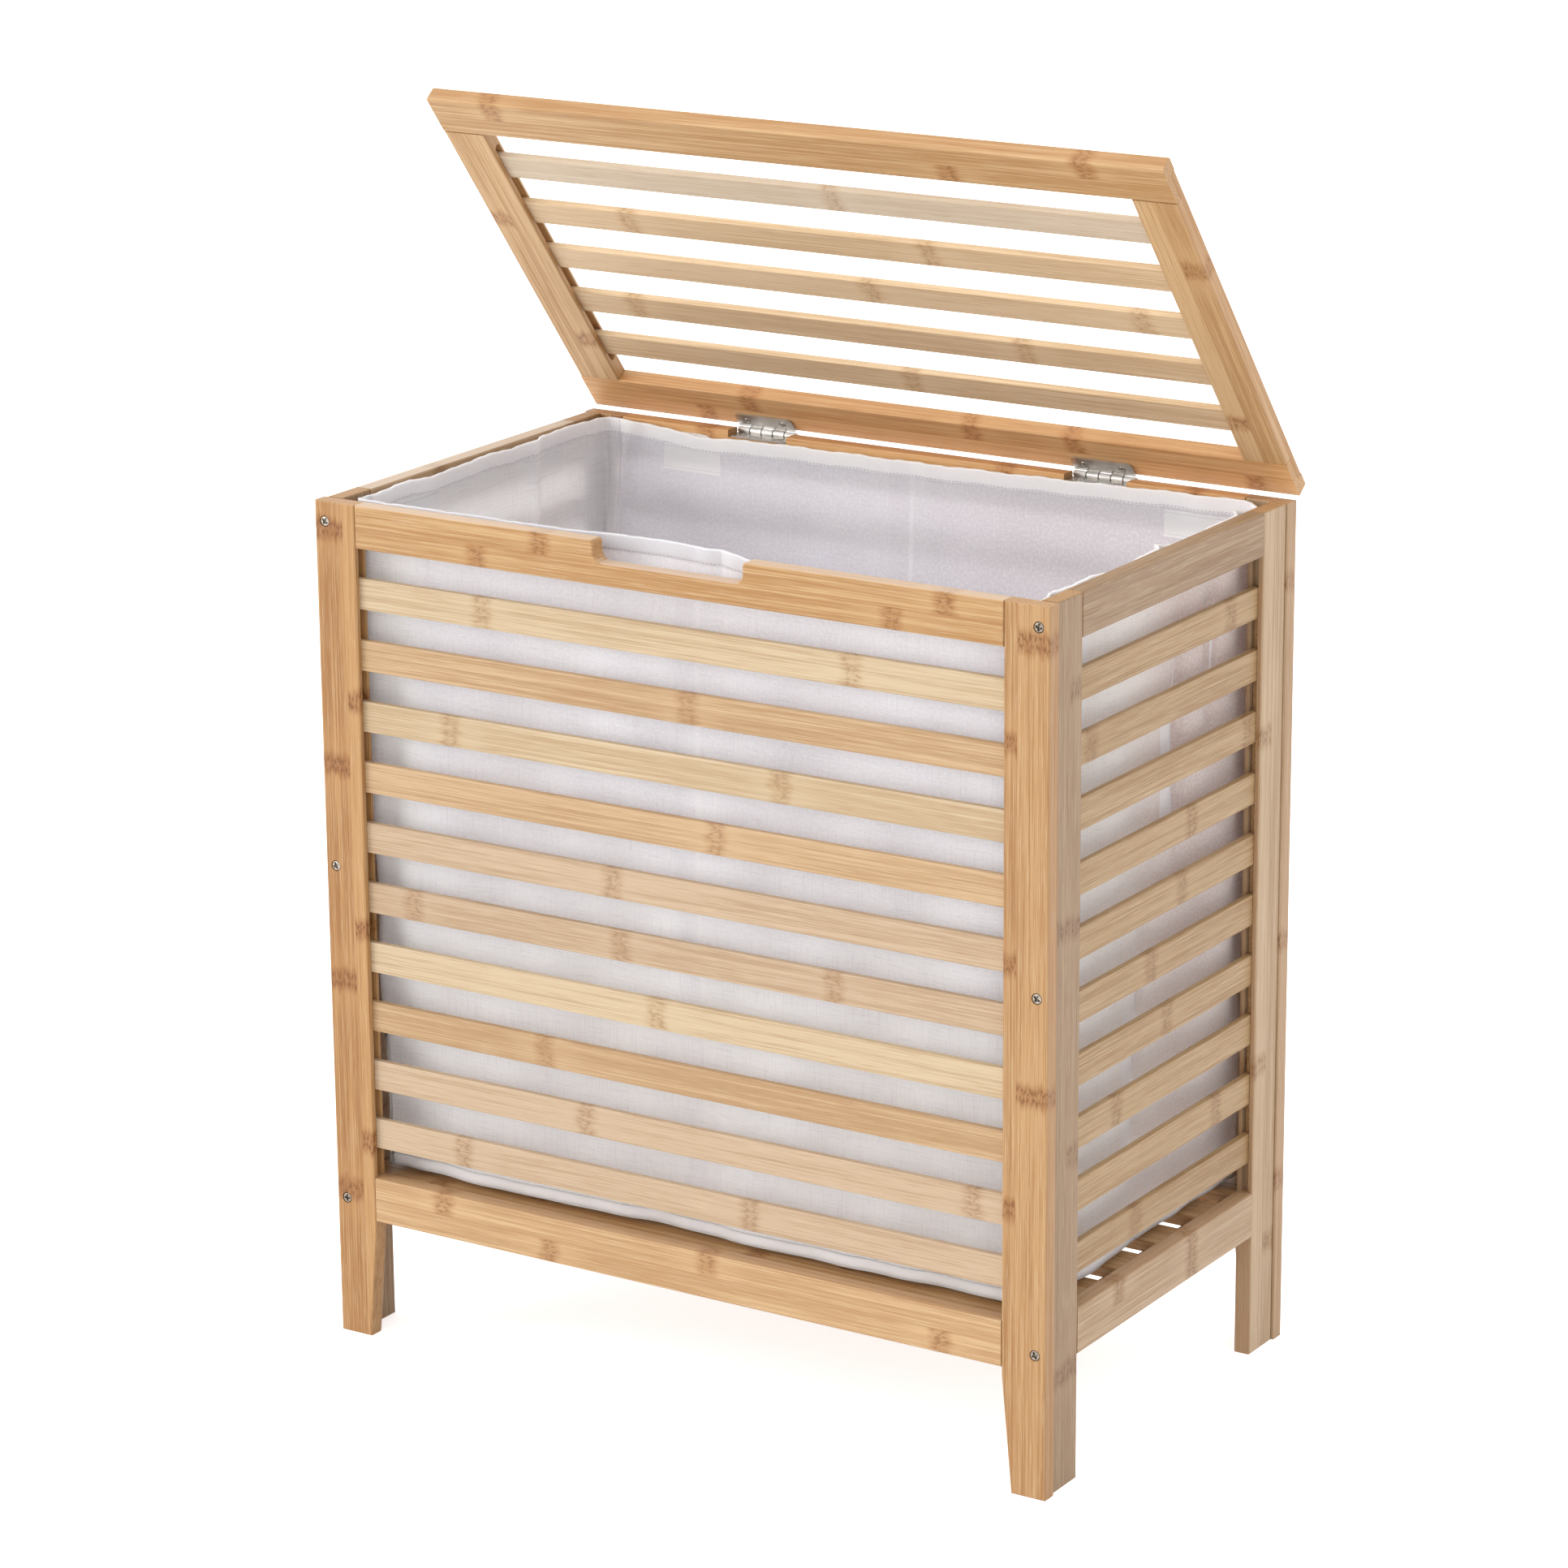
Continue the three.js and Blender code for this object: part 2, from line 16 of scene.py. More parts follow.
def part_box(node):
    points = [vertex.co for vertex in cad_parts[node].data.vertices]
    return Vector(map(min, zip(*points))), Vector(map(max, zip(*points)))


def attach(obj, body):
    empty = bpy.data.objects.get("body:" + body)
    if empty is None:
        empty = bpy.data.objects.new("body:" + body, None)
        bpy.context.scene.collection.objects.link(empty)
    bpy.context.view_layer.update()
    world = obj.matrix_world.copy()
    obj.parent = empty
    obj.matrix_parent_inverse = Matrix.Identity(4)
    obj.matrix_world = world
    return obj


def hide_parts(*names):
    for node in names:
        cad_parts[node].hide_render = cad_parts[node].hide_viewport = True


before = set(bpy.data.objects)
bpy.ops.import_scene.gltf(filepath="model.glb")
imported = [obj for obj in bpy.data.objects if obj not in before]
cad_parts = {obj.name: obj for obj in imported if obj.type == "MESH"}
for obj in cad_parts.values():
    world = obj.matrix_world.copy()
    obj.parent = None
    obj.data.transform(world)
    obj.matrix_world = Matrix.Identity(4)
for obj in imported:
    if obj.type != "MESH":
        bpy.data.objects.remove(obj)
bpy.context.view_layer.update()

# %% [markdown]
# ## The camera
# The camera stands to the right and above the hamper, far away with a long lens, which keeps upright posts nearly
# parallel. Yaw, pitch and roll turn into three axes, which become the columns of the camera's matrix.

# %% Camera
camera_place = Vector((1.97570, -3.13218, 1.51544))
yaw, pitch, roll = 0.568, 0.286, -0.0085
forward = Vector((-math.sin(yaw) * math.cos(pitch), math.cos(yaw) * math.cos(pitch), -math.sin(pitch)))
level_right = Vector((math.cos(yaw), math.sin(yaw), 0.0))
level_up = level_right.cross(forward)
right = level_right * math.cos(roll) + level_up * math.sin(roll)
up = level_up * math.cos(roll) - level_right * math.sin(roll)
lens = bpy.data.cameras.new("camera")
lens.lens, lens.sensor_width = 121.75, 36.0
lens.clip_start, lens.clip_end = 0.05, 200.0
camera = bpy.data.objects.new("camera", lens)
camera.matrix_world = Matrix.Translation(camera_place) @ Matrix((right, up, -forward)).transposed().to_4x4()
bpy.context.scene.collection.objects.link(camera)
bpy.context.scene.camera = camera
print("camera looks along", [round(v, 3) for v in forward])

# %% [markdown]
# ## Helpers for node materials
# A procedural material is a graph of small nodes. Written out one by one, a graph fills pages, so what a node
# works out is kept here as a Value, and plain sums on Values add the Math nodes. All nodes go into the tree that
# was opened last.

# %% Values and nodes
class Value:
    """What one output of a node works out: a number, a place or a colour. The class keeps the open tree."""

    tree = None

    def __init__(self, node, output=0):
        self.socket = node.outputs[output]

    def __add__(self, other):
        return calc("ADD", self, other)

    def __sub__(self, other):
        return calc("SUBTRACT", self, other)

    def __mul__(self, other):
        return calc("MULTIPLY", self, other)

    def __truediv__(self, other):
        return calc("DIVIDE", self, other)

    def __gt__(self, other):
        return calc("GREATER_THAN", self, other)

    def __lt__(self, other):
        return calc("LESS_THAN", self, other)

    def __abs__(self):
        return calc("ABSOLUTE", self)


def feed(node, feeds):
    """Each feed names one of the node's inputs, or gives its number, and the Value or plain number for it."""
    for key, value in feeds.items():
        if isinstance(value, Value):
            Value.tree.links.new(value.socket, node.inputs[key])
        else:
            node.inputs[key].default_value = value
    return node


def add(kind, feeds, **settings):
    """Adds a node with its settings and its feeds."""
    made = Value.tree.nodes.new("ShaderNode" + kind)
    for key, value in settings.items():
        setattr(made, key, value)
    return feed(made, feeds)


def calc(operation, a, b=0.0):
    """One Math node."""
    return Value(add("Math", {0: a, 1: b}, operation=operation))


def new_material(name):
    """An empty material, whose tree is opened; gives back the material and its main shader."""
    made = bpy.data.materials.new(name)
    made.use_nodes = True
    Value.tree = made.node_tree
    return made, Value.tree.nodes["Principled BSDF"]


print("values and nodes ready")

# %% [markdown]
# ## Colours, places and noise
# These few steps make up every material below. Colours are given as 0 to 255 screen values, as they are read from
# a sample, and turned into the linear values that Blender works in.

# %% Node helpers
def rgb(red, green, blue):
    """A 0-255 screen colour as linear light: ((c + 0.055) / 1.055) to the power 2.4, or c / 12.92 near black."""
    c = np.array([red, green, blue]) / 255.0
    linear = np.where(c > 0.04045, ((c + 0.055) / 1.055) ** 2.4, c / 12.92)
    return (*[float(v) for v in linear], 1.0)


def fade(value, start, stop, low=0.0, high=1.0):
    """A smooth step: low at start and high at stop, easing between them."""
    feeds = {"Value": value, "From Min": start, "From Max": stop, "To Min": low, "To Max": high}
    return Value(add("MapRange", feeds, interpolation_type="SMOOTHSTEP"))


def tint(share, under, over):
    """Lays one colour over another by a share."""
    return Value(add("Mix", {0: share, 6: under, 7: over}, data_type="RGBA"), 2)


def most(a, b):
    """The larger of two values."""
    return calc("MAXIMUM", a, b)


def split(place):
    """The x, y and z of a place."""
    parts = add("SeparateXYZ", {0: place})
    return [Value(parts, k) for k in range(3)]


def join(x, y, z):
    """A place from its x, y and z."""
    return Value(add("CombineXYZ", {0: x, 1: y, 2: z}))


def own_place():
    """The place on the object, in the object's own coordinates."""
    return Value(add("TexCoord", {}), "Object")


def combine(operation, place, other, output=0):
    """One sum on two places."""
    return Value(add("VectorMath", {0: place, 1: other}, operation=operation), output)


def fibres(place, stretch, detail=2.0):
    """Noise stretched into fibres: place is multiplied by stretch before the noise is read."""
    feeds = {"Vector": combine("MULTIPLY", place, stretch), "Scale": 1.0, "Detail": detail, "Roughness": 0.6}
    return Value(add("TexNoise", feeds))


def bump(strength, distance, relief):
    """A normal that makes the relief look raised."""
    return Value(add("Bump", {"Strength": strength, "Distance": distance, "Height": relief}))


def new_object(name, data):
    """An object in the scene, at the origin."""
    made = bpy.data.objects.new(name, data)
    bpy.context.scene.collection.objects.link(made)
    return made


print("node helpers ready")

# %% [markdown]
# ## Bamboo
# A bamboo board is glued from split strips of the cane. Fine fibres run along a strip, and every 15 to 35 cm the
# cane's joint crosses it: a band about a finger wide of short brown dashes, with paler wood beside it.
# Neighbouring strips come from different canes, so their tone and joints differ, and the glue line shows.
# An image texture would repeat, so the pattern is worked out from the place in the board: whole-number steps
# across it pick the strip, and white noise shifts each strip's tone and its fibres, so none crosses a glue line.

# %% Strips and fibres
def nearest_joint(x, y, joints):
    """Distance along the board to the nearest joint = the least |x - place| over the joints whose strip holds y."""
    near = 1.0
    for joint_place, strip_middle, strip_half in joints:
        outside = abs(y - strip_middle) > strip_half
        near = calc("MINIMUM", near, abs(x - joint_place) + outside)
    return near


def strips_of(place, strips, seed):
    """Strip number = whole part of ((y - edge) / width). Its white noise gives the strip a tone and a shift."""
    edge, width = strips
    steps = (split(place)[1] - edge) / width
    feeds = {"Vector": join(calc("FLOOR", steps), seed, 0.5)}
    chance = add("TexWhiteNoise", feeds, noise_dimensions="3D")
    return steps, Value(chance), combine("ADD", place, Value(chance, 1))


def grain(moved, tone, pale, dark):
    """The fibres' colour, with its lines and hairs. Streak = broad streaks + lines + strip's tone."""
    broad = fibres(moved, (3.0, 250.0, 250.0), 3.0)
    lines = fibres(moved, (8.0, 760.0, 760.0), 3.0)
    hairs = fibres(moved, (34.0, 1900.0, 1900.0), 2.0)
    streak = broad * 0.42 + lines * 0.58 + (tone - 0.5) * 0.12
    colour = tint(fade(streak, 0.40, 0.60), pale, dark)
    colour = tint(fade(hairs, 0.53, 0.70, 0.0, 0.36), colour, rgb(156, 110, 66))
    return tint(fade(hairs, 0.47, 0.32, 0.0, 0.30), colour, rgb(218, 198, 164)), lines, hairs


print("strips and fibres ready")

# %% [markdown]
# ## Joints and end grain
# Round a joint, short dashes are cut from a fourth noise, and their brown is the board's dark tone made deeper. A
# board's ends show the cane's bundles as dots, and only there the surface normal points along the fibres. On some
# boards the faces that look up get a painted highlight, paler where the top light falls on them.

# %% Joints and ends
def cane_joints(colour, moved, near, bold, pale, dark):
    """Colour with the joints on it, and the share of the dashes. Near = distance to a joint: a pale zone from 6
    to 40 mm, a brown ring within 12 mm, and dashes in two columns, 3 mm to either side of the middle."""
    dashes = fade(fibres(moved, (170.0, 500.0, 500.0)), 0.44, 0.56)
    columns = fade(abs(near - 0.0030), 0.0028, 0.0008, 0.35, 1.0)
    knot = fade(near, 0.0085, 0.0050) * columns * dashes * bold
    glow = fade(near, 0.006, 0.012) * fade(near, 0.040, 0.014)
    ring_colour, dash_colour = [tuple(a * b for a, b in zip(dark, deeper))
                                for deeper in ((0.88, 0.76, 0.62, 1.0), (0.66, 0.55, 0.46, 1.0))]
    colour = tint(glow * 0.30, colour, pale)
    colour = tint(fade(near, 0.0120, 0.0045, 0.0, 0.55 * bold), colour, ring_colour)
    return tint(knot, colour, dash_colour), knot


def tops_and_ends(colour, normal, place, along, painted_top_light):
    """Colour with a painted highlight on upward faces, and end grain where the normal runs along the fibres."""
    colour = tint(fade(split(normal)[2], 0.75, 0.95, 0.0, painted_top_light), colour, rgb(226, 208, 190))
    end = fade(abs(combine("DOT_PRODUCT", normal, along, "Value")), 0.75, 0.92, 0.0, 0.75)
    dots = fibres(place, (40.0, 1500.0, 1500.0))
    return tint(end, colour, tint(fade(dots, 0.40, 0.62), rgb(206, 164, 112), rgb(150, 104, 62)))


print("joints and ends ready")

# %% [markdown]
# ## The whole bamboo material
# The layers go on in the order in which they lie in the wood: fibres, joints, glue lines, then what the board's
# outside adds. Hairs, lines and dashes also drive a shallow bump, so a low light picks out the grain.

# %% Bamboo material
def bamboo(name, centre, along, across, strips, joints, bold, seed, pale, dark, painted_top_light):
    """Bamboo for one board. Local place = board axes applied to (point - centre), so x runs along the fibres."""
    made, shader = new_material(name)
    turn = Matrix((along, across, along.cross(across))).transposed().to_euler()
    coords = add("TexCoord", {})
    feeds = {"Vector": Value(coords, "Object"), "Location": centre, "Rotation": turn}
    place = Value(add("Mapping", feeds, vector_type="TEXTURE"))
    x, y, _ = split(place)
    steps, tone, moved = strips_of(place, strips, seed)
    colour, lines, hairs = grain(moved, tone, pale, dark)
    wobble = fibres(moved, (40.0, 260.0, 260.0), 3.0) - 0.5
    near = nearest_joint(x + wobble * 0.016, y, joints)
    colour, knot = cane_joints(colour, moved, near, bold, pale, dark)
    from_line = abs(steps - calc("ROUND", steps)) * strips[1]
    colour = tint(fade(from_line, 0.0006, 0.0002, 0.0, 0.35), colour, rgb(168, 120, 76))
    colour = tops_and_ends(colour, Value(coords, "Normal"), place, along, painted_top_light)
    feed(shader, {"Base Color": colour, "Roughness": fade(lines, 0.3, 0.7, 0.40, 0.54),
                  "Normal": bump(0.30, 0.00030, hairs + lines * 0.5 - knot), "Specular IOR Level": 0.42})
    return made


def dress(node, material):
    """Puts a material on a CAD node in place of its plain one."""
    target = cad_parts[node]
    target.data.materials.clear()
    target.data.materials.append(material)


print("bamboo recipe ready")

# %% [markdown]
# ## Where the cane joints lie
# Where joints line up, or all boards share one rhythm, bamboo looks printed. So the places on the front, the right
# side and the lid are listed, in millimetres, and the other boards draw theirs from a seeded row.

# %% Joint places
front_slat_joints = ((-161, 147), (13,), (-191, 89), (35,), (-53,), (-228, -47, 131),
                     (-17,), (-115,), (-80, 243), (-189, 60))
lid_slat_joints = ((15,), (-180, 76), (9, 230), (-215, 119), (7,))
right_slat_joints = (90, -110, 118, 35, 22, -22, 3, -70, 78, -40)
two_strip_joints = {
    "front_top_rail": ((-162, 181), (-107, 223)),
    "front_bottom_rail": ((-112, 220), (-206, 25)),
    "front_post_left": ((620, 444, 279, 115), (494, 321, 155)),
    "front_post_right": ((542, 386, 210), (613, 295)),
    "right_front_stile": ((409, 85), (575, 407, 243, 87)),
    "right_back_stile": ((474, 224), (82,)),
    "right_bottom_rail": ((37,), (37, -70)),
    "right_top_rail": ((), ()),
    "lid_front_rail": ((-250, 240), (128,)),
    "lid_back_rail": ((-152, 41, 128), (-197, 272)),
    "lid_stile_left": ((-43,), (90,)),
    "lid_stile_right": ((95,), (-68,)),
}
joint_rng = np.random.default_rng(11)


def joint_row(half_length):
    """Seeded joints along one strip: a start within the first 20 cm, then 15 to 30 cm apart."""
    start = -half_length + joint_rng.uniform(0.02, 0.20)
    places = start + np.cumsum(np.append(0.0, joint_rng.uniform(0.15, 0.30, 4)))
    return tuple(float(place) for place in places if place < half_length)


print("solids with listed joints:", len(two_strip_joints) + len(front_slat_joints) + len(lid_slat_joints) + 1)

# %% [markdown]
# ## Which way the fibres run
# Fibres always run the long way of a board. The lid stands open at 51.6 degrees, so its boards have turned axes.
# Each board gets one of fourteen stocks, given as its pale and its dark tone: the frame is a warm caramel and the
# slats are sawn from paler canes. The slats stand evenly between the top and bottom rail. In both tables the
# first row whose text is in the board's name counts.

# %% Board directions and tones
x_axis, y_axis, z_axis = Vector((1, 0, 0)), Vector((0, 1, 0)), Vector((0, 0, 1))
lid_angle = math.radians(51.6)
lid_axis = Vector((0, math.cos(lid_angle), -math.sin(lid_angle)))
tones = {
    "caramel": ((195, 157, 109), (169, 124, 73)), "toffee": ((186, 142, 91), (155, 107, 57)),
    "syrup": ((186, 146, 99), (158, 113, 65)), "ash": ((162, 133, 102), (143, 113, 82)),
    "sand": ((192, 164, 131), (170, 140, 106)), "honey": ((212, 174, 126), (184, 139, 88)),
    "straw": ((203, 181, 148), (182, 156, 121)), "biscuit": ((206, 171, 127), (182, 143, 99)),
    "peach": ((193, 168, 139), (173, 145, 114)), "amber": ((197, 165, 126), (173, 138, 98)),
    "wheat": ((177, 146, 105), (155, 121, 80)), "pale straw": ((224, 195, 156), (206, 173, 132)),
    "cream": ((218, 200, 175), (206, 185, 158)), "gold": ((224, 176, 120), (198, 143, 88)),
}
front_slat_tones = ("straw", "amber", "straw", "amber", "peach", "peach", "straw", "amber", "peach", "peach")
opening_top, opening_bottom, slat_height, slat_count = 0.608, 0.1275, 0.023, 10
slat_pitch = (opening_top - opening_bottom - slat_count * slat_height) / (slat_count + 1) + slat_height


def first_match(name, table):
    """The entry of the first row whose text is in the name, such as a board's two axes or its stock."""
    return next(entry for text, entry in table if text in name)


board_axes = (("lid_stile", (lid_axis, x_axis)), ("lid", (x_axis, lid_axis)), ("post", (z_axis, x_axis)),
              ("stile", (z_axis, y_axis)), ("left_", (y_axis, z_axis)), ("right_", (y_axis, z_axis)),
              ("cleat", (y_axis, z_axis)), ("board", (x_axis, y_axis)), ("", (x_axis, z_axis)))
board_stocks = (("lid_slat_01", "cream"), ("lid_slat", "pale straw"), ("lid_back_rail", "gold"), ("lid", "honey"),
                ("back_top_rail", "gold"), ("slat", "wheat"), ("right_back_stile", "sand"),
                ("back_post_right", "sand"), ("right_bottom_rail", "sand"), ("left_top_rail", "sand"),
                ("stile", "ash"), ("left_", "ash"), ("right_", "ash"), ("front_post_left", "toffee"),
                ("post", "syrup"), ("front_bottom_rail", "biscuit"), ("", "caramel"))
print("stocks:", len(tones), "slats", round(slat_pitch * 1000, 1), "mm apart")

# %% [markdown]
# ## Strips of each board
# Posts, stiles and rails are two strips wide, and a slat is one. The joined slats of the back and the sides are
# one solid each, so there a strip is one slat. An upright board's joints are listed by their height above the
# floor, and the others' from the board's middle.

# %% Strips and joints of a board
post_edge, post_strip, narrow_strip, slat_half = 0.0069, 0.0245, 0.0172, 0.012


def board_strips(name, half_length, height_shift):
    """The strip edge and width, and the joints as (place along, strip middle, strip half width)."""
    if name.endswith("slats"):
        rows = [(row + 0.5) * slat_pitch for row in range(-slat_count // 2, slat_count // 2)]
        listed = right_slat_joints[::-1] if name == "right_slats" else [None] * slat_count
        joints = [(place, row, slat_half) for row, given in zip(rows, listed)
                  for place in ((given / 1000,) if given is not None else joint_row(half_length))]
        return (0.0, slat_pitch), joints
    if "slat" in name:
        index = int(name[-2:]) - 1
        places = (front_slat_joints if name.startswith("front") else lid_slat_joints)[index]
        return (-0.5, 1.0), [(place / 1000, 0.0, 0.5) for place in places]
    outer = -1 if "left" in name else 1
    edge, width = (outer * -post_edge, post_strip) if "post" in name else (0.0, narrow_strip)
    if name in two_strip_joints:
        upright = ("post" in name or "stile" in name) and not name.startswith("lid")
        shift = height_shift if upright else 0.0
        rows = [[place / 1000 - shift for place in row] for row in two_strip_joints[name]]
    else:
        rows = [joint_row(half_length), joint_row(half_length)]
    return (edge, width), [(place, edge + way * width, width) for way, row in zip((-1, 1), rows) for place in row]


post_half_length, first_seed = 0.32, 3.7
for number, name in enumerate(sorted(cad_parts)):
    if name.startswith(("frame_screw", "hinge", "liner")):
        continue
    low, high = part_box(name)
    centre, (along, across) = (low + high) / 2, first_match(name, board_axes)
    half_length = post_half_length if "post" in name else abs((high - low).dot(along)) / 2
    strips, joints = board_strips(name, half_length, centre.z)
    slat_row = int(name[-2:]) - 1 if name.startswith("front_slat") else None
    stock = first_match(name, board_stocks) if slat_row is None else front_slat_tones[slat_row]
    pale, dark = [rgb(*tone) for tone in tones[stock]]
    bold = 0.55 if "slat" in name else 1.0 if "post" in name else 0.85
    # A painted highlight on the upward faces of the front and left top rails and of the posts.
    painted_top_light = 0.50 if name in ("front_top_rail", "left_top_rail") else 0.35 if "post" in name else 0.0
    dress(name, bamboo("bamboo_" + name, centre, along, across, strips, joints, bold,
                       first_seed + number, pale, dark, painted_top_light))
print("boards with bamboo:", sum(made.name.startswith("bamboo_") for made in bpy.data.materials))

# %% [markdown]
# ## Nickel and zinc
# The hinges are pressed from steel and plated with bright nickel. The screws have a duller zinc coat, which is
# cleaner on the hinges. All are metals, so their colour sits in the reflection, and faint noise in the roughness
# stands for handling marks. The gaps between a hinge's knuckles are too thin for the solids, so their shade is
# painted on as dark lines.

# %% Metal materials
pin = Vector((0, 0.17495904, 0.6373))
hinge_place, knuckle_gaps, barrel_radius = 0.146, (0.005115, 0.015345), 0.0027


def knuckle_lines(place):
    """1 beside the gaps between the knuckles, where painted shade goes: near a gap along the pin, and within the
    barrel's radius of it.
    """
    x, y, z = split(place)
    from_middle = abs(abs(x) - hinge_place)
    inner, outer = [abs(from_middle - gap) for gap in knuckle_gaps]
    beside = fade(calc("MINIMUM", inner, outer), 0.00070, 0.00045)
    from_pin = add("VectorMath", {0: join(0.0, y - pin.y, z - pin.z)}, operation="LENGTH")
    return beside * fade(Value(from_pin, "Value"), barrel_radius + 0.0004, barrel_radius + 0.0002)


def plated(name, shine, dull, rough_low, rough_high, scratch, shadow=0.0):
    """Plated steel: one reflection colour that drifts to a duller one, with roughness between two values. The
    painted shade on the knuckle lines is laid on by the share shadow."""
    made, shader = new_material(name)
    place = own_place()
    marks = fibres(place, (scratch, scratch * 0.2, scratch), 3.0)
    cloud = fibres(place, (60.0, 60.0, 60.0), 1.0)
    colour = tint(fade(cloud, 0.35, 0.7), shine, dull)
    # Painted shade in the gaps between the knuckles.
    if shadow:
        colour = tint(knuckle_lines(place) * shadow, colour, rgb(90, 86, 82))
    rough = fade(marks, 0.3, 0.7, rough_low, rough_high)
    feed(shader, {"Base Color": colour, "Roughness": rough, "Metallic": 1.0})
    return made


nickel = plated("nickel", rgb(208, 206, 203), rgb(194, 191, 187), 0.31, 0.35, 900.0, 0.8)
zinc = plated("zinc", rgb(176, 168, 158), rgb(146, 137, 127), 0.30, 0.42, 2200.0)
bright_zinc = plated("bright_zinc", rgb(200, 195, 188), rgb(172, 166, 158), 0.31, 0.38, 2200.0)
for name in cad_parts:
    if name.startswith("hinge"):
        dress(name, nickel)
print("metals:", nickel.name, zinc.name, bright_zinc.name)

# %% [markdown]
# ## Surfaces from grids
# Every new piece is a grid of points, and each cell of it becomes one four-sided face. The grids close round on
# themselves, because a screw, a pad and a bag all go round. Whole arrays go into the mesh at once.

# %% Grid helpers
def grid_faces(rows, columns):
    """Corner numbers: (i, j), (i, j+1), (i+1, j+1), (i+1, j), where the column after the last is the first."""
    i = np.arange(rows - 1)[:, None]
    j = np.arange(columns)[None, :]
    k = (j + 1) % columns
    this_row, next_row = i * columns, (i + 1) * columns
    return np.stack([this_row + j, this_row + k, next_row + k, next_row + j], axis=-1).reshape(-1, 4)


def make_piece(name, points, quads, material, body, uvs=None):
    """A smooth mesh object from arrays of points and four-sided faces, riding on a body."""
    mesh = bpy.data.meshes.new(name)
    mesh.vertices.add(len(points))
    mesh.vertices.foreach_set("co", points.astype(np.float32).ravel())
    mesh.loops.add(quads.size)
    mesh.loops.foreach_set("vertex_index", quads.astype(np.int32).ravel())
    mesh.polygons.add(len(quads))
    mesh.polygons.foreach_set("loop_start", np.arange(0, quads.size, 4, dtype=np.int32))
    mesh.update(calc_edges=True)
    mesh.validate()
    mesh.polygons.foreach_set("use_smooth", np.ones(len(mesh.polygons), bool))
    if uvs is not None:
        layer = mesh.uv_layers.new(name="cloth")
        layer.data.foreach_set("uv", uvs.astype(np.float32).ravel())
    mesh.materials.append(material)
    made = new_object(name, mesh)
    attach(made, body)
    return made


def merge_and_turn_out(piece):
    """Merges the points at a pole, and turns every face outwards."""
    work = bmesh.new()
    work.from_mesh(piece.data)
    bmesh.ops.remove_doubles(work, verts=work.verts, dist=1e-6)
    bmesh.ops.recalc_face_normals(work, faces=work.faces)
    work.to_mesh(piece.data)
    work.free()


print("grid helpers ready")

# %% [markdown]
# ## Screws with a cross recess
# A countersunk screw is a turned part, but its cross recess isn't. Here the head's top is a polar grid, and every
# point sinks by a formula that is deep on the two arms of the cross and zero elsewhere. The cone, the shank and
# the closed tip carry on from its rim. Every cross stands at its own angle, as the screwdriver left it.

# %% Screw shape
def screw(name, place, aim, spin, body, coat, head, depth, shank, length):
    """A screw whose top faces along aim. Top: z = 0.12 head * (1 - (r / head)^2) - 0.55 head * arm * inside - rim,
    where arm falls from 1 to 0 as the smaller of |x| and |y| passes the arm's half width, inside does as r passes
    the arm's reach, and rim bevels the edge from 0.82 head outwards."""
    turns, rings = 72, 30
    angle = np.linspace(0, 2 * np.pi, turns, endpoint=False)[None, :]
    radius = (np.linspace(0, 1, rings) * head * 0.97)[:, None]
    px, py = radius * np.cos(angle), radius * np.sin(angle)
    half_arm, reach = 0.15 * head * (1 - 0.35 * radius / head), 0.68 * head
    arm = np.clip((half_arm + 0.10 * head - np.minimum(abs(px), abs(py))) / (0.10 * head), 0, 1)
    inside = np.clip((reach - radius) / (0.12 * head), 0, 1) + 0 * px
    rim = 0.30 * head * np.clip((radius / head - 0.82) / 0.15, 0, 1)
    dome = 0.12 * head * (1 - (radius / head) ** 2) - rim
    top = np.stack([px, py, dome - 0.55 * head * arm * inside], axis=-1)
    profile = np.array([[head, -0.34 * head], [shank, -depth], [shank, -length], [0.0, -length]])
    skirt_radius, skirt_height = profile[:, :1], profile[:, 1:] + 0 * angle
    skirt = np.stack([skirt_radius * np.cos(angle), skirt_radius * np.sin(angle), skirt_height], axis=-1)
    local = np.concatenate([top, skirt]).reshape(-1, 3)
    facing = aim.to_track_quat("Z", "Y").to_matrix() @ Matrix.Rotation(spin, 3, "Z")
    points = local @ np.array(facing).T + np.array(place)
    made = make_piece(name, points, grid_faces(rings + len(profile), turns), coat, body)
    merge_and_turn_out(made)
    return made


frame_screw = {"head": 0.0041, "depth": 0.0034, "shank": 0.002, "length": 0.038}
post_face, screw_sink, post_middle = 0.178, 0.0006, 0.295
depth_shift = -0.00624096
screw_heights = (0.625, 0.366, 0.107)
for side_name, side in (("left", -1), ("right", 1)):
    for facing, face_name in ((-1, "front"), (1, "back")):
        for row, height in enumerate(screw_heights):
            place = (side * post_middle, facing * (post_face - screw_sink) + depth_shift, height)
            made = screw(f"{face_name}_screw_{side_name}_{3 - row}", place, Vector((0, facing, 0)),
                         0.4 + 1.1 * row + side, "cabinet", zinc, **frame_screw)
            if facing < 0:
                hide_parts(f"frame_screw_{side_name}_{3 - row}")
print("frame screws: 12, with an arm depth of", round(0.55 * frame_screw["head"] * 1000, 1), "mm")

# %% [markdown]
# ## Hinge screws
# Each leaf has two small screws. Those of the lower leaf stand upright in the back rail. Those of the upper leaf
# go up into the lid, so they ride on it, and they are placed from the pin in the lid's own turned directions.

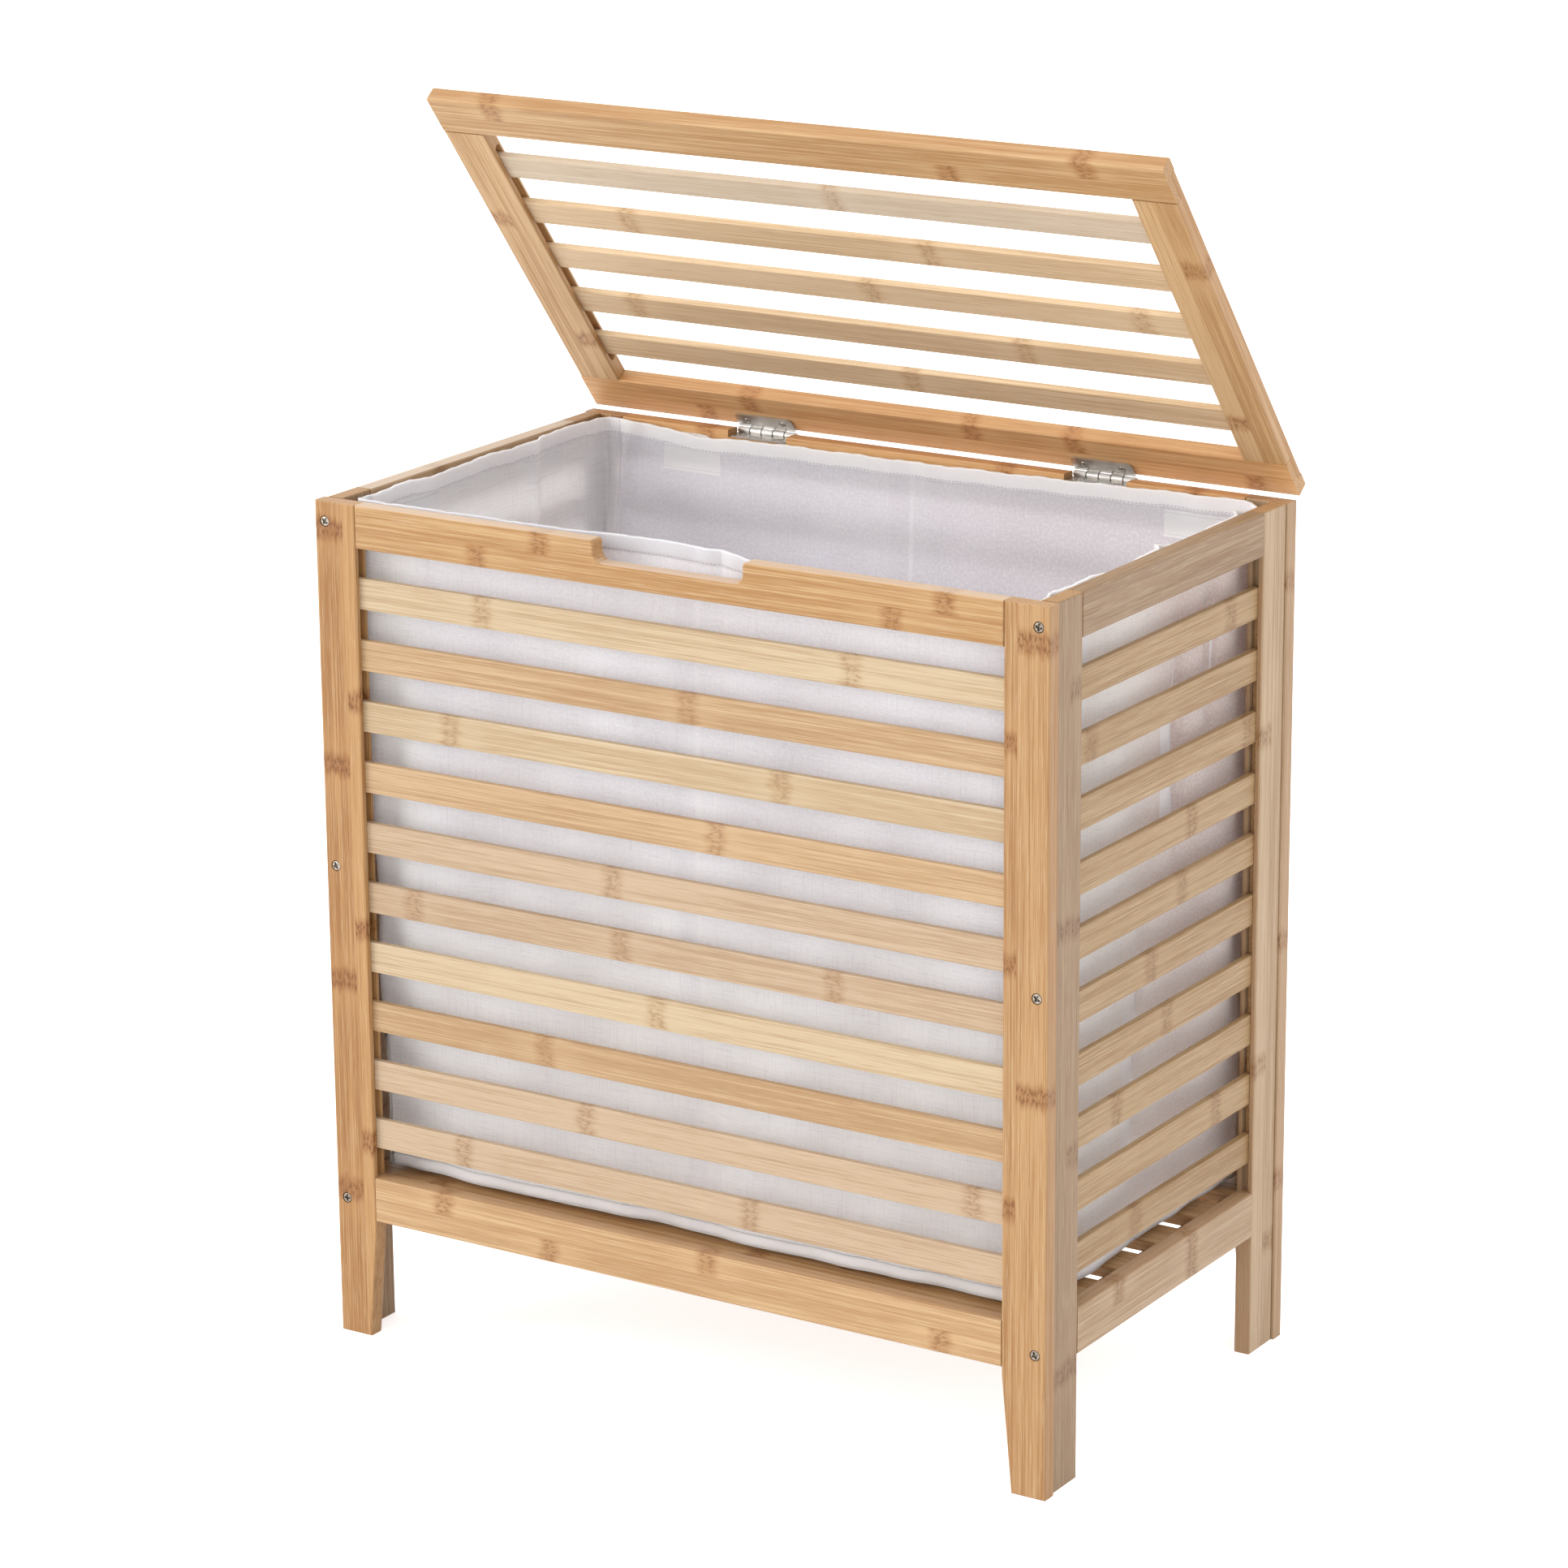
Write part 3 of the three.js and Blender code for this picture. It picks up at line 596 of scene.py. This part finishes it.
# %% Hinge screws
hinge_screw = {"head": 0.0029, "depth": 0.0015, "shank": 0.0012, "length": 0.0085}
screw_from_pin, leaf_face, screw_aside = 0.0098, 0.0015, 0.016
lid_normal = Vector((0, math.sin(lid_angle), math.cos(lid_angle)))
for side_name, side in (("left", -1), ("right", 1)):
    for spot, offset in (("a", -screw_aside), ("b", screw_aside)):
        x = side * hinge_place + offset
        lower = pin + Vector((x, -screw_from_pin, -leaf_face))
        upper = pin + Vector((x, 0, 0)) - lid_axis * screw_from_pin + lid_normal * leaf_face
        screw(f"hinge_screw_lower_{side_name}_{spot}", lower, z_axis, 0.5 + side,
              "cabinet", bright_zinc, **hinge_screw)
        screw(f"hinge_screw_upper_{side_name}_{spot}", upper, -lid_normal, 1.3 * side + offset * 40,
              "lid", bright_zinc, **hinge_screw)
print("hinge screws: 8")

# %% [markdown]
# ## The outline of the cloth bag
# The bag is one tube of cloth with a bottom, hung from the top rails. Five flat plates would look stiff, so its
# wall is a loft: the same loop of points is repeated at many depths, and every repeat is changed a little. The
# loop has as many points on each side as the bottom's grid, so wall and bottom join without a gap.

# %% Loop of the bag
long_cells, short_cells = 96, 54
bag_half_width, bag_half_depth, bag_corner = 0.2852, 0.1612, 0.010


def side_run(cells, half, radius):
    """One side, from the middle of a rounded corner to the next: the way travelled, the distance from the side's
    centre, how far the corner's arc has turned in from the side's line, and by what angle."""
    flat = half - radius
    reach = flat + radius * np.pi / 4
    travel = np.linspace(-1, 1, cells + 1)[:-1] * reach
    bend = np.clip(np.abs(travel) - flat, 0, None) / radius
    run = np.sign(travel) * (np.minimum(np.abs(travel), flat) + radius * np.sin(bend))
    return travel, run, radius * (1 - np.cos(bend)), np.sign(travel) * bend


travel_long, run_long, turn_long, bend_long = side_run(long_cells, bag_half_width, bag_corner)
travel_short, run_short, turn_short, bend_short = side_run(short_cells, bag_half_depth, bag_corner)
loop_x = np.concatenate([run_long, bag_half_width - turn_short, -run_long, turn_short - bag_half_width])
loop_y = np.concatenate([turn_long - bag_half_depth, run_short, bag_half_depth - turn_long, -run_short])
heading = np.concatenate([bend_long - np.pi / 2, bend_short, bend_long + np.pi / 2, bend_short + np.pi])
out_x, out_y = np.cos(heading), np.sin(heading)
side_number = np.repeat([0, 1, 2, 3], [long_cells, short_cells, long_cells, short_cells])
travel = np.concatenate([travel_long, travel_short, travel_long, travel_short])
spacing = np.hypot(np.roll(loop_x, -1) - loop_x, np.roll(loop_y, -1) - loop_y)
around = np.concatenate([[0.0], np.cumsum(spacing)[:-1]])
print("loop points:", len(loop_x), "length in metres:", round(float(spacing.sum()), 3))

# %% [markdown]
# ## The hem and the bottom seam
# The hem isn't straight: pads hold it up, and it droops between them. Its height is listed at nine places along
# each side, in millimetres, with a small peak at the finger notch and a dip at the left of the back. It
# stays just under the rails' top, where the lid closes. Slow waves come from a few sines with fixed phases.

# %% Hem line and seam line
hem_shares = (-1.0, -0.9, -0.55, -0.3, 0.0, 0.3, 0.6, 0.9, 1.0)
hem_heights = {
    0: (639.6, 639.6, 639.6, 639.6, 639.6, 634.5, 634, 635, 636.2),
    1: (636.2, 638.5, 639.2, 635, 639.3, 634, 638.5, 636.5, 636.2),
    2: (639.4, 639.4, 637.4, 636.2, 635.2, 635.2, 635, 639.4, 639.4),
    3: (639.4, 639.2, 639.2, 637, 638.5, 636, 638.8, 637, 638.5),
}
hem_limit = 0.6396


def wave(place, length, phase=0.0):
    """A sine of the given wavelength."""
    return np.sin(place * 2 * np.pi / length + phase)


def smoothed(values):
    """A value for each side, blended round the corners with neighbours 1, 2, 4 and 8 points away."""
    values = np.array(values)[side_number]
    for k in (1, 2, 4, 8):
        values = (np.roll(values, k) + values + np.roll(values, -k)) / 3
    return values


side_reach = np.array([travel_long[0], travel_short[0], travel_long[0], travel_short[0]]) * -1
share = travel / side_reach[side_number]
hem = np.zeros(len(loop_x))
for side in range(4):
    here = side_number == side
    hem[here] = np.interp(share[here], hem_shares, np.array(hem_heights[side]) / 1000)
hem += 0.0022 * np.exp(-(share - 0.12) ** 2 / 0.006) * (side_number == 0)
hem -= 0.0034 * np.exp(-(share - 0.70) ** 2 / 0.012) * (side_number == 2)
hem = sum(np.roll(hem, k) for k in range(-2, 3)) / 5
hem += 0.0004 * wave(around, 0.053, 1.0) + 0.0003 * wave(around, 0.0171)
hem = np.minimum(hem, hem_limit)
seam_height = smoothed([0.1305, 0.1300, 0.1300, 0.1290])
seam_height += 0.0005 * wave(around, 0.19) + 0.0003 * wave(around, 0.047)
print("hem from", round(float(hem.min()), 4), "to", round(float(hem.max()), 4))

# %% [markdown]
# ## Folds
# The cloth is cut a little smaller at the bottom, so the wall leans in, and pressed folds run down it. All of this
# is one number per point: how far the cloth lies inside its loop. A fold is a bell curve across the wall, times
# one along its height, and it wanders a little on its way down. Folds are listed as side, place along it, depth,
# width, height and how tall, in millimetres. Sides 0 to 3 are the front, right, back and left.

# %% Rows and their inset
hem_rows, wall_rows, seam_rows = (0, 0.0135, 10), (0.019, 0.490, 80), (0.4925, 0.500, 4)
depths = np.concatenate([np.linspace(*rows) for rows in (hem_rows, wall_rows, seam_rows)])
share_down = depths / depths[-1]
row_z = hem[None, :] + (seam_height - hem)[None, :] * share_down[:, None]
down = share_down[:, None]
folds = (
    (1, 39, 7, 6, 490, 90), (1, -2, 7, 6, 280, 90), (1, 88, 6, 8, 550, 60), (1, -60, -1.2, 18, 400, 600),
    (1, -95, 1.8, 5, 330, 200), (0, -30, 10, 55, 645, 60), (0, -180, 3, 90, 645, 40), (0, 30, 3.5, 6, 637, 30),
    (1, 18, 8.5, 6, 637, 25), (1, 136, 8.5, 8, 637, 30), (1, -62, 2.5, 5, 637, 20), (1, -138, 2.5, 6, 637, 20),
    (3, -70, 6.2, 6, 550, 200), (3, -115, -1, 16, 450, 400), (3, 60, 2, 20, 400, 500),
    (2, 262, 5, 4, 450, 500), (2, 0, 0.9, 4, 400, 600), (0, 8.6, 0.9, 4, 400, 600),
    (0, -255, 2.2, 9, 300, 300), (0, 262, 1.8, 11, 300, 300), (2, -250, 2, 12, 400, 500),
)


def bell(distance, width):
    """A bell curve: 1 in the middle and near 0 past two widths."""
    return np.exp(-(distance / width) ** 2)


inset = 0.0008 + smoothed([0.0085, 0.0075, 0.0070, 0.0070])[None, :] * down ** 2.2 + 0 * row_z
ripples = ((0.26, 0.0016, 1.5, 0.4), (0.115, 0.0010, -3.0, 2.1), (0.062, 0.0005, 5.0, 4.0))
for length, height, tilt, phase in ripples:
    ripple = np.sin(around[None, :] * 2 * np.pi / length + tilt * row_z * 6 + phase)
    inset += height * (1 + ripple) * np.clip(down * 4, 0, 1)
for side, *sizes in folds:
    spot, height, width, level, tall = [size / 1000 for size in sizes]
    wander = 0.012 * np.sin(row_z * 9 + spot * 40) * (tall > 0.1)
    ridge = bell(travel[None, :] - spot - wander, width) * bell(row_z - level, tall)
    inset += (side_number == side)[None, :] * height * ridge
corner_pull = bell((1 - np.abs(share))[None, :] * side_reach[side_number][None, :], 0.030)
inset += 0.0024 * corner_pull * np.sin(row_z * 23 + side_number[None, :]) ** 2
inset = np.maximum(inset, 0.0003)
print("cloth lies inside its loop by", round(float(inset.min()), 4), "to", round(float(inset.max()), 4))

# %% [markdown]
# ## Wall and bottom in one mesh
# The bottom is a grid whose edge is the wall's last row. Points inside it come from blending the four edges, which
# is called a Coons patch. It rests on the base boards and sinks a little between them.

# %% Bag mesh
wall_x = loop_x[None, :] - inset * out_x[None, :]
wall_y = loop_y[None, :] - inset * out_y[None, :] + depth_shift
wall = np.stack([wall_x, wall_y, row_z], axis=-1)
loop_count = len(loop_x)


def four_edges(loop):
    """The loop's values along the front, right, back and left, each from left to right or front to back."""
    second, third = long_cells + short_cells, 2 * long_cells + short_cells
    return (loop[:long_cells + 1], loop[long_cells:second + 1], loop[second:third + 1][::-1],
            np.concatenate([loop[third:], loop[:1]])[::-1])


front, right_edge, back, left_edge = four_edges(wall[-1])
u = np.linspace(0, 1, long_cells + 1)[None, :, None]
v = np.linspace(0, 1, short_cells + 1)[:, None, None]
film = ((1 - v) * front[None, :, :] + v * back[None, :, :]
        + (1 - u) * left_edge[:, None, :] + u * right_edge[:, None, :]
        - (1 - u) * (1 - v) * front[0] - u * (1 - v) * front[-1] - (1 - u) * v * back[0] - u * v * back[-1])
edge = np.minimum(np.minimum(u, 1 - u) * 0.56, np.minimum(v, 1 - v) * 0.31)[:, :, 0]
board_top, board_gap = 0.1259, 0.0588
between = np.abs(((film[:, :, 1] - depth_shift) / board_gap + 0.5) % 1.0 - 0.5) * board_gap
sink = 0.0012 * np.clip((0.012 - between) / 0.012, 0, 1) ** 2 * np.clip(edge / 0.03, 0, 1)
settle = np.clip(edge / 0.028, 0, 1) ** 0.8
ruffle = 0.0008 * np.sin(film[:, :, 0] * 40 + 1) * np.sin(film[:, :, 1] * 55) * settle
film[:, :, 2] = film[:, :, 2] * (1 - settle) + (board_top - sink + np.abs(ruffle)) * settle
print("wall rows:", wall.shape[0], "bottom grid:", film.shape[:2])

# %% [markdown]
# ## Faces and cloth coordinates
# Wall and bottom share the points of the wall's last row, so the bag is one closed surface below its hem. Each
# corner of a face gets a place on the flat cloth in metres: the distance round the bag, and down from the hem.

# %% Bag faces and cloth coordinates
edge_numbers = four_edges(np.arange(loop_count) + (len(depths) - 1) * loop_count)
inner_first = len(depths) * loop_count
numbers = np.full((short_cells + 1, long_cells + 1), -1)
numbers[0, :], numbers[:, -1], numbers[-1, :], numbers[:, 0] = edge_numbers
numbers[1:-1, 1:-1] = inner_first + np.arange((short_cells - 1) * (long_cells - 1)).reshape(short_cells - 1, -1)
bag_points = np.concatenate([wall.reshape(-1, 3), film[1:-1, 1:-1].reshape(-1, 3)])
wall_quads = grid_faces(len(depths), loop_count)[:, ::-1]
floor_quads = np.stack([numbers[:-1, :-1], numbers[1:, :-1], numbers[1:, 1:], numbers[:-1, 1:]], axis=-1)
floor_quads = floor_quads.reshape(-1, 4)
bag_quads = np.concatenate([wall_quads, floor_quads])
wall_u = np.concatenate([around, [spacing.sum()]])


def corner_places(rows_u, rows_v, row, column, upside_down):
    """Each face's corners as (u, v): u from its column and the next, v from its row and the next."""
    near, far = (row + 1, row) if upside_down else (row, row + 1)
    corners = ((column, near), (column + 1, near), (column + 1, far), (column, far))
    return np.stack([[rows_u[j], rows_v[i]] for j, i in corners]).transpose(2, 0, 1).reshape(-1, 2)


row, column = np.divmod(np.arange(len(wall_quads)), loop_count)
wall_uv = corner_places(wall_u, depths, row, column, True)
floor_uv = (bag_points[floor_quads][:, :, :2] + 4.0).reshape(-1, 2)
print("wall faces:", len(wall_quads), "bottom faces:", len(floor_quads))

# %% [markdown]
# ## Cotton cloth
# The bag is sewn from a thin, plain-woven cotton and linen cloth. Where it is double, at the hem, the seams and
# the sewn-on pads, less light passes through and it looks paler. The right wall's pressed creases get painted
# highlights, a band near its front corner, where the seam allowance is double, gets painted light, and a pleat near
# the back-left corner gets a thin painted shade. Hem and seams follow the cloth, so they read the bag's own UV map,
# and the rest goes by the distance from the middle of each wall. The painted crease highlights are listed as place,
# half width, middle and half height in millimetres, and strength.

# %% Bands and stitches on the cloth
hem_depth, seam_depth, stitch_length = 0.0106, 0.4898, 0.0032
patch_long, patch_short, patch_half, patch_shift = 0.2164, 0.081, 0.0256, 0.0152
patch_height, patch_half_height = 0.6150, 0.0100
painted_crease_highlights = ((33, 0.9, 493, 52, 1.0), (-8, 0.9, 278, 50, 1.0), (22, 11, 480, 45, 0.65),
                (88, 0.9, 548, 30, 0.8), (-20, 12, 250, 60, 0.5))


def box_share(value, middle, half, soft):
    """1 within half of the middle and 0 outside, over a soft edge."""
    return fade(abs(value - middle), half + soft, half - soft)


def ring_share(value, middle, half, thin):
    """1 on the two lines that lie half away from the middle."""
    return fade(abs(abs(value - middle) - half), thin, thin * 0.4)


def strongest(share, layers):
    """The largest of a share and of each layer's share times its amount."""
    for layer, amount in layers:
        share = most(share, layer * amount)
    return share


def doubled_and_stitched(u, v):
    """Two shares: double cloth with the right wall's painted highlights, and stitches, seam lines and a painted
    shade.
    """
    x, y, z = split(own_place())
    on_right, shift = x > 0.2, (y > 0.0) * patch_shift
    high = box_share(z, patch_height, patch_half_height, 0.0004)
    wide = (box_share(abs(x - shift), patch_long, patch_half, 0.0004)
            + box_share(abs(y - depth_shift), patch_short, patch_half, 0.0004))
    # A band of painted light near the right wall's front corner, where the seam allowance is also double.
    corner_band = box_share(y, -0.113, 0.018, 0.0006) * on_right
    from_seam = x - ((y < 0.0) * 0.0166 - 0.008)
    centre_band = box_share(from_seam, 0.002, 0.002, 0.0004) * fade(z, 0.13, 0.135)
    # Painted highlights along the right wall's pressed creases.
    crease_light = [(box_share(y, spot / 1000, half_width / 1000, 0.0006) * on_right
                * box_share(z, level / 1000, tall / 1000, 0.01), amount)
               for spot, half_width, level, tall, amount in painted_crease_highlights]
    double = strongest(wide * high * 0.9, crease_light + [
        (fade(v, 0.0120, 0.0112), 0.8), (fade(v, 0.4895, 0.4905), 0.9),
        (centre_band, 0.24), (corner_band, 0.45)])
    stitch = fade(calc("FRACT", u / stitch_length), 0.72, 0.62)
    patch_lines = wide * ring_share(z, patch_height, patch_half_height - 0.002, 0.0005)
    # A thin painted shade along a pleat near the back-left corner.
    pleat_shade = box_share(x, -0.2665, 0.0005, 0.0005) * (y > 0.1)
    line = strongest(box_share(from_seam, -0.009, 0.0085, 0.003) * 0.14, [
        (pleat_shade, 0.7), (stitch * ring_share(v, 0.0, hem_depth, 0.0007), 1.0),
        (stitch * ring_share(v, 0.0, seam_depth, 0.0007), 1.0), (patch_lines, 0.6)])
    return double, line


print("band and stitch helpers ready")

# %% [markdown]
# ## A painted shade for each wall
# Light shines through the bag and bounces about in it, and this light and shade is painted into each wall's colour:
# the back is greyer, the right is warmer and darker low down, the left has two painted bright spots where light
# comes between the slats, and the front is paler low down and beside the left post.

# %% Wall shades
front_wall, right_wall = (-0.140, -0.146), (0.262, 0.270)
back_wall, left_wall = (0.135, 0.142), (-0.262, -0.270)


def painted_wall_light(colour):
    """Each wall's share is 1 beyond its plane, and its painted light and shade is laid over the colour by that
    share.
    """
    x, y, z = split(own_place())
    low_right = tint(fade(z, 0.42, 0.25), rgb(211, 189, 177), rgb(235, 216, 204))
    right_painted_light = tint(fade(y, -0.06, 0.05), rgb(252, 238, 226), low_right)
    left_share, front_share = fade(x, *left_wall), fade(y, *front_wall)
    # Spot and haze are painted light on the left wall, where light comes between the slats.
    spot = box_share(y, 0.085, 0.018, 0.005) * box_share(z, 0.598, 0.008, 0.003)
    painted_light_haze = box_share(y, 0.022, 0.030, 0.012) * box_share(z, 0.600, 0.014, 0.008) * 0.7
    for share, tone in (
            (left_share * 0.9, rgb(254, 249, 247)),
            (fade(y, *back_wall) * fade(x, -0.10, 0.10, 0.35, 0.8), rgb(214, 208, 213)),
            (front_share * fade(z, 0.50, 0.25, 0.0, 0.8), rgb(247, 247, 255)),
            (front_share * fade(x, -0.215, -0.262, 0.0, 0.95), rgb(249, 252, 255)),
            (fade(x, *right_wall, 0.0, 0.8), right_painted_light),
            (left_share * most(spot, painted_light_haze), rgb(255, 255, 253))):
        colour = tint(share, colour, tone)
    return colour


def hem_shade():
    """The double cloth's colour: white, whitest at the back, and a painted shade where the hem shows above the
    notch.
    """
    _, y, z = split(own_place())
    tone = tint(fade(y, *back_wall), rgb(244, 243, 247), rgb(251, 250, 255))
    return tint(fade(y, *front_wall) * fade(z, 0.600, 0.605), tone, rgb(208, 208, 211))


print("wall shades ready")

# %% [markdown]
# ## The weave
# The UV map is measured in metres along the yarns, so the weave follows the cloth round every fold. Yarns vary in
# thickness, so short thick runs, called slubs, cross in both directions as faint lines. The cloth is thin enough
# for light to pass, so the shader scatters light through its whole thickness.

# %% Cloth material
yarn_spacing = 0.0009


def cloth(name):
    """Woven cloth: yarn ripples = the larger of two sine rows; slubs = noise stretched along u, and along v."""
    made, shader = new_material(name)
    uv = Value(add("UVMap", {}, uv_map="cloth"))
    u, v, _ = split(uv)
    slub_across = fibres(uv, (34.0, 1000.0, 1.0), 2.0)
    slub_down = fibres(uv, (1000.0, 34.0, 1.0), 2.0)
    mottle = fibres(uv, (420.0, 420.0, 1.0), 3.0)
    cloud = fibres(uv, (9.0, 9.0, 1.0), 2.0)
    colour = painted_wall_light(tint(fade(cloud, 0.3, 0.7), rgb(233, 233, 244), rgb(225, 225, 236)))
    colour = tint(fade(slub_across, 0.52, 0.68, 0.0, 0.34), colour, rgb(206, 202, 208))
    colour = tint(fade(slub_down, 0.52, 0.68, 0.0, 0.30), colour, rgb(208, 204, 210))
    colour = tint(fade(mottle, 0.42, 0.66, 0.0, 0.30), colour, rgb(250, 249, 250))
    double, line = doubled_and_stitched(u, v)
    colour = tint(double, colour, hem_shade())
    colour = tint(line * 0.55, colour, rgb(176, 170, 176))
    rows, columns = [abs(calc("SINE", way * (2 * math.pi / yarn_spacing))) for way in (u, v)]
    relief = most(rows, columns) * 0.4 + (slub_across + slub_down) + double * 1.2 - line * 1.5
    feed(shader, {"Base Color": colour, "Normal": bump(0.35, 0.0006, relief), "Roughness": 0.92,
                  "Specular IOR Level": 0.2, "Sheen Weight": 0.15, "Subsurface Weight": 1.0,
                  "Subsurface Radius": (1.0, 0.97, 0.96), "Subsurface Scale": 0.0035})
    return made


cotton = cloth("cotton")
print("cloth:", cotton.name)

# %% [markdown]
# ## The bag itself
# The mesh is one layer of cloth in the middle of its thickness, and Solidify grows it both ways. A vertex group
# tells it where the cloth is double, at the hem and the bottom seam. Its pattern was cut from flat cloth, and it
# hangs from the top rails.

# %% Cloth bag
bag = make_piece("cloth_bag", bag_points, bag_quads, cotton, "cabinet",
                 uvs=np.concatenate([wall_uv, floor_uv]))
layers = bag.vertex_groups.new(name="double cloth")
doubled = np.concatenate([np.repeat((depths < 0.0120) | (depths > 0.489), loop_count),
                          np.zeros(len(bag_points) - inner_first, bool)])
layers.add(np.flatnonzero(doubled).tolist(), 1.0, "REPLACE")
layers.add(np.flatnonzero(~doubled).tolist(), 0.0, "REPLACE")
thicken = bag.modifiers.new("cloth thickness", "SOLIDIFY")
thicken.thickness, thicken.offset = 0.0020, 0.0
thicken.vertex_group, thicken.thickness_vertex_group = "double cloth", 0.55
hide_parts("liner_bag")

# %% [markdown]
# ## The rolled seam round the bottom
# Where the walls meet the bottom, the raw edges are rolled up and sewn through. This shows below the slats as a
# white, slightly puckered band. An upright oval is carried round the bag's lower edge, and its thickness swells
# and shrinks from stitch to stitch.

# %% Rolled seam
def rolled_seam(name, half_tall, half_thick, pucker):
    """Oval carried round the loop: outward = half_thick * cos(a) * (1 + 0.22 * |sin(pi * around / pucker)|), and
    up = half_tall * sin(a)."""
    turn_angle = np.linspace(0, 2 * np.pi, 14, endpoint=False)[:, None]
    base_row = len(depths) - 3
    swell = 1 + 0.22 * np.abs(np.sin(np.pi * around / pucker))[None, :]
    outward = 0.0006 + half_thick * np.cos(turn_angle) * swell
    px = wall_x[base_row][None, :] + out_x[None, :] * outward
    py = wall_y[base_row][None, :] + out_y[None, :] * outward
    pz = (seam_height + 0.0034)[None, :] + half_tall * np.sin(turn_angle) + 0 * px
    points = np.stack([px, py, pz], axis=-1).reshape(-1, 3)
    tube = grid_faces(len(turn_angle) + 1, loop_count) % len(points)
    ring, spot = np.divmod(np.arange(len(tube)), loop_count)
    level = 0.4955 + 0.004 * np.sin(np.append(turn_angle[:, 0], 0.0))
    uvs = corner_places(wall_u, level, ring, spot, False)
    return make_piece(name, points, tube, cotton, "cabinet", uvs=uvs)


bottom_seam = rolled_seam("bottom_seam", 0.0045, 0.0016, 0.0065)
print("rolled seam faces:", len(bottom_seam.data.polygons))

# %% [markdown]
# ## Hook-and-loop pads
# Eight small pads are glued to the inside of the top rails, and the bag presses on to them. Each is a slab with
# rounded corners: its outline is carried over a short profile, up the edge and then to the middle.

# %% Pads
def pad(name, middle, outward, long_way, half_long, half_tall, thickness):
    """A rounded slab: outline = a super-ellipse of power 6; scale and height follow a profile from the back's
    middle, round the edge, to the front's middle."""
    angle = np.linspace(0, 2 * np.pi, 72, endpoint=False)
    power = (np.abs(np.cos(angle)) ** 6 + np.abs(np.sin(angle)) ** 6) ** (-1 / 6)
    scale = np.array([0.0, 0.5, 0.96, 1.0, 1.0, 0.97, 0.75, 0.4, 0.0])[:, None]
    level = np.array([-0.5, -0.5, -0.5, -0.4, 0.3, 0.47, 0.5, 0.5, 0.5])[:, None] * thickness
    flat = scale * power[None, :]
    fuzz = 0.00010 * np.sin(angle * 9)[None, :] * (scale > 0.9)
    across = flat * np.cos(angle)[None, :] * half_long + fuzz
    tall = flat * np.sin(angle)[None, :] * half_tall
    local = np.stack([across, tall, level + 0 * flat], axis=-1).reshape(-1, 3)
    axes = np.stack([np.array(long_way), np.array((0, 0, 1.0)), np.array(outward)])
    points = local @ axes + np.array(middle)
    made = make_piece(name, points, grid_faces(len(scale), len(angle)), fuzzy, "cabinet")
    merge_and_turn_out(made)
    return made


fuzzy, shader = new_material("loop_pile")
pile = fibres(own_place(), (1500.0, 1500.0, 1500.0), 3.0)
pile_colour = tint(fade(pile, 0.3, 0.7), rgb(214, 211, 208), rgb(240, 238, 236))
feed(shader, {"Base Color": pile_colour, "Normal": bump(0.6, 0.0006, pile), "Roughness": 0.95,
              "Sheen Weight": 0.3})

rail_inner_depth, rail_inner_width, pad_gap, pad_aside, pad_height = 0.1648, 0.2888, 0.0001, 0.214, 0.6242
pad_size = {"half_long": 0.028, "half_tall": 0.0100, "thickness": 0.0022}
pad_depth = pad_gap + pad_size["thickness"] / 2
for side, side_name in ((-1, "left"), (1, "right")):
    for facing, face_name in ((-1, "front"), (1, "back")):
        spot = (side * pad_aside, facing * (rail_inner_depth - pad_depth) + depth_shift, pad_height)
        pad(f"{face_name}_pad_{side_name}", spot, (0, -facing, 0), (1, 0, 0), **pad_size)
        spot = (side * (rail_inner_width - pad_depth), facing * patch_short + depth_shift, pad_height)
        pad(f"{side_name}_pad_{face_name}", spot, (-side, 0, 0), (0, 1, 0), **pad_size)
print("pads: 8")

# %% [markdown]
# ## Floor, background and light
# The studio is a white sweep with a large soft lamp in front, to the left and a little above, so the front is the
# brightest side. Sky and floor look white to the camera through the Is Camera Ray output, at a plain lamp level,
# and the floor keeps a faint shadow of the hamper.

# %% Floor and lights
def seen_directly():
    """1 for the rays of the camera and of mirror-like or clear surfaces, 0 for those that carry soft light."""
    rays = add("LightPath", {})
    mirrored = most(Value(rays, "Is Glossy Ray"), Value(rays, "Is Transmission Ray"))
    return most(Value(rays, "Is Camera Ray"), mirrored)


white, floor_glow = (1.0, 1.0, 1.0, 1.0), 0.66
world = bpy.data.worlds.new("studio")
bpy.context.scene.world = world
world.use_nodes = True
Value.tree = world.node_tree
height = split(Value(add("TexCoord", {}), "Generated"))[2]
soft = tint(fade(height, 0.0, 1.0), (0.60, 0.61, 0.63, 1.0), (1.48, 1.47, 1.48, 1.0))
feed(world.node_tree.nodes["Background"], {"Color": tint(seen_directly(), soft, white)})

floor_material, shader = new_material("white_floor")
feed(shader, {"Base Color": (0.9, 0.9, 0.9, 1.0), "Roughness": 0.9, "Specular IOR Level": 0.0,
              "Emission Color": white, "Emission Strength": seen_directly() * floor_glow})
floor_mesh = bpy.data.meshes.new("floor")
far = 40
floor_mesh.from_pydata([(-far, -far, 0), (far, -far, 0), (far, far, 0), (-far, far, 0)], [], [(0, 1, 2, 3)])
floor_mesh.materials.append(floor_material)
floor = new_object("floor", floor_mesh)

lamp = bpy.data.lights.new("soft lamp", "SUN")
lamp.energy, lamp.angle, lamp.color = 1.55, math.radians(35), (1.0, 0.98, 0.95)
toward = Vector((-0.75, -0.60, 0.28)).normalized()
new_object("soft lamp", lamp).rotation_euler = toward.to_track_quat("Z", "Y").to_euler()
bpy.context.scene.view_settings.view_transform = "Standard"
print("floor and lamp ready")

# %% Update the scene
bpy.context.view_layer.update()
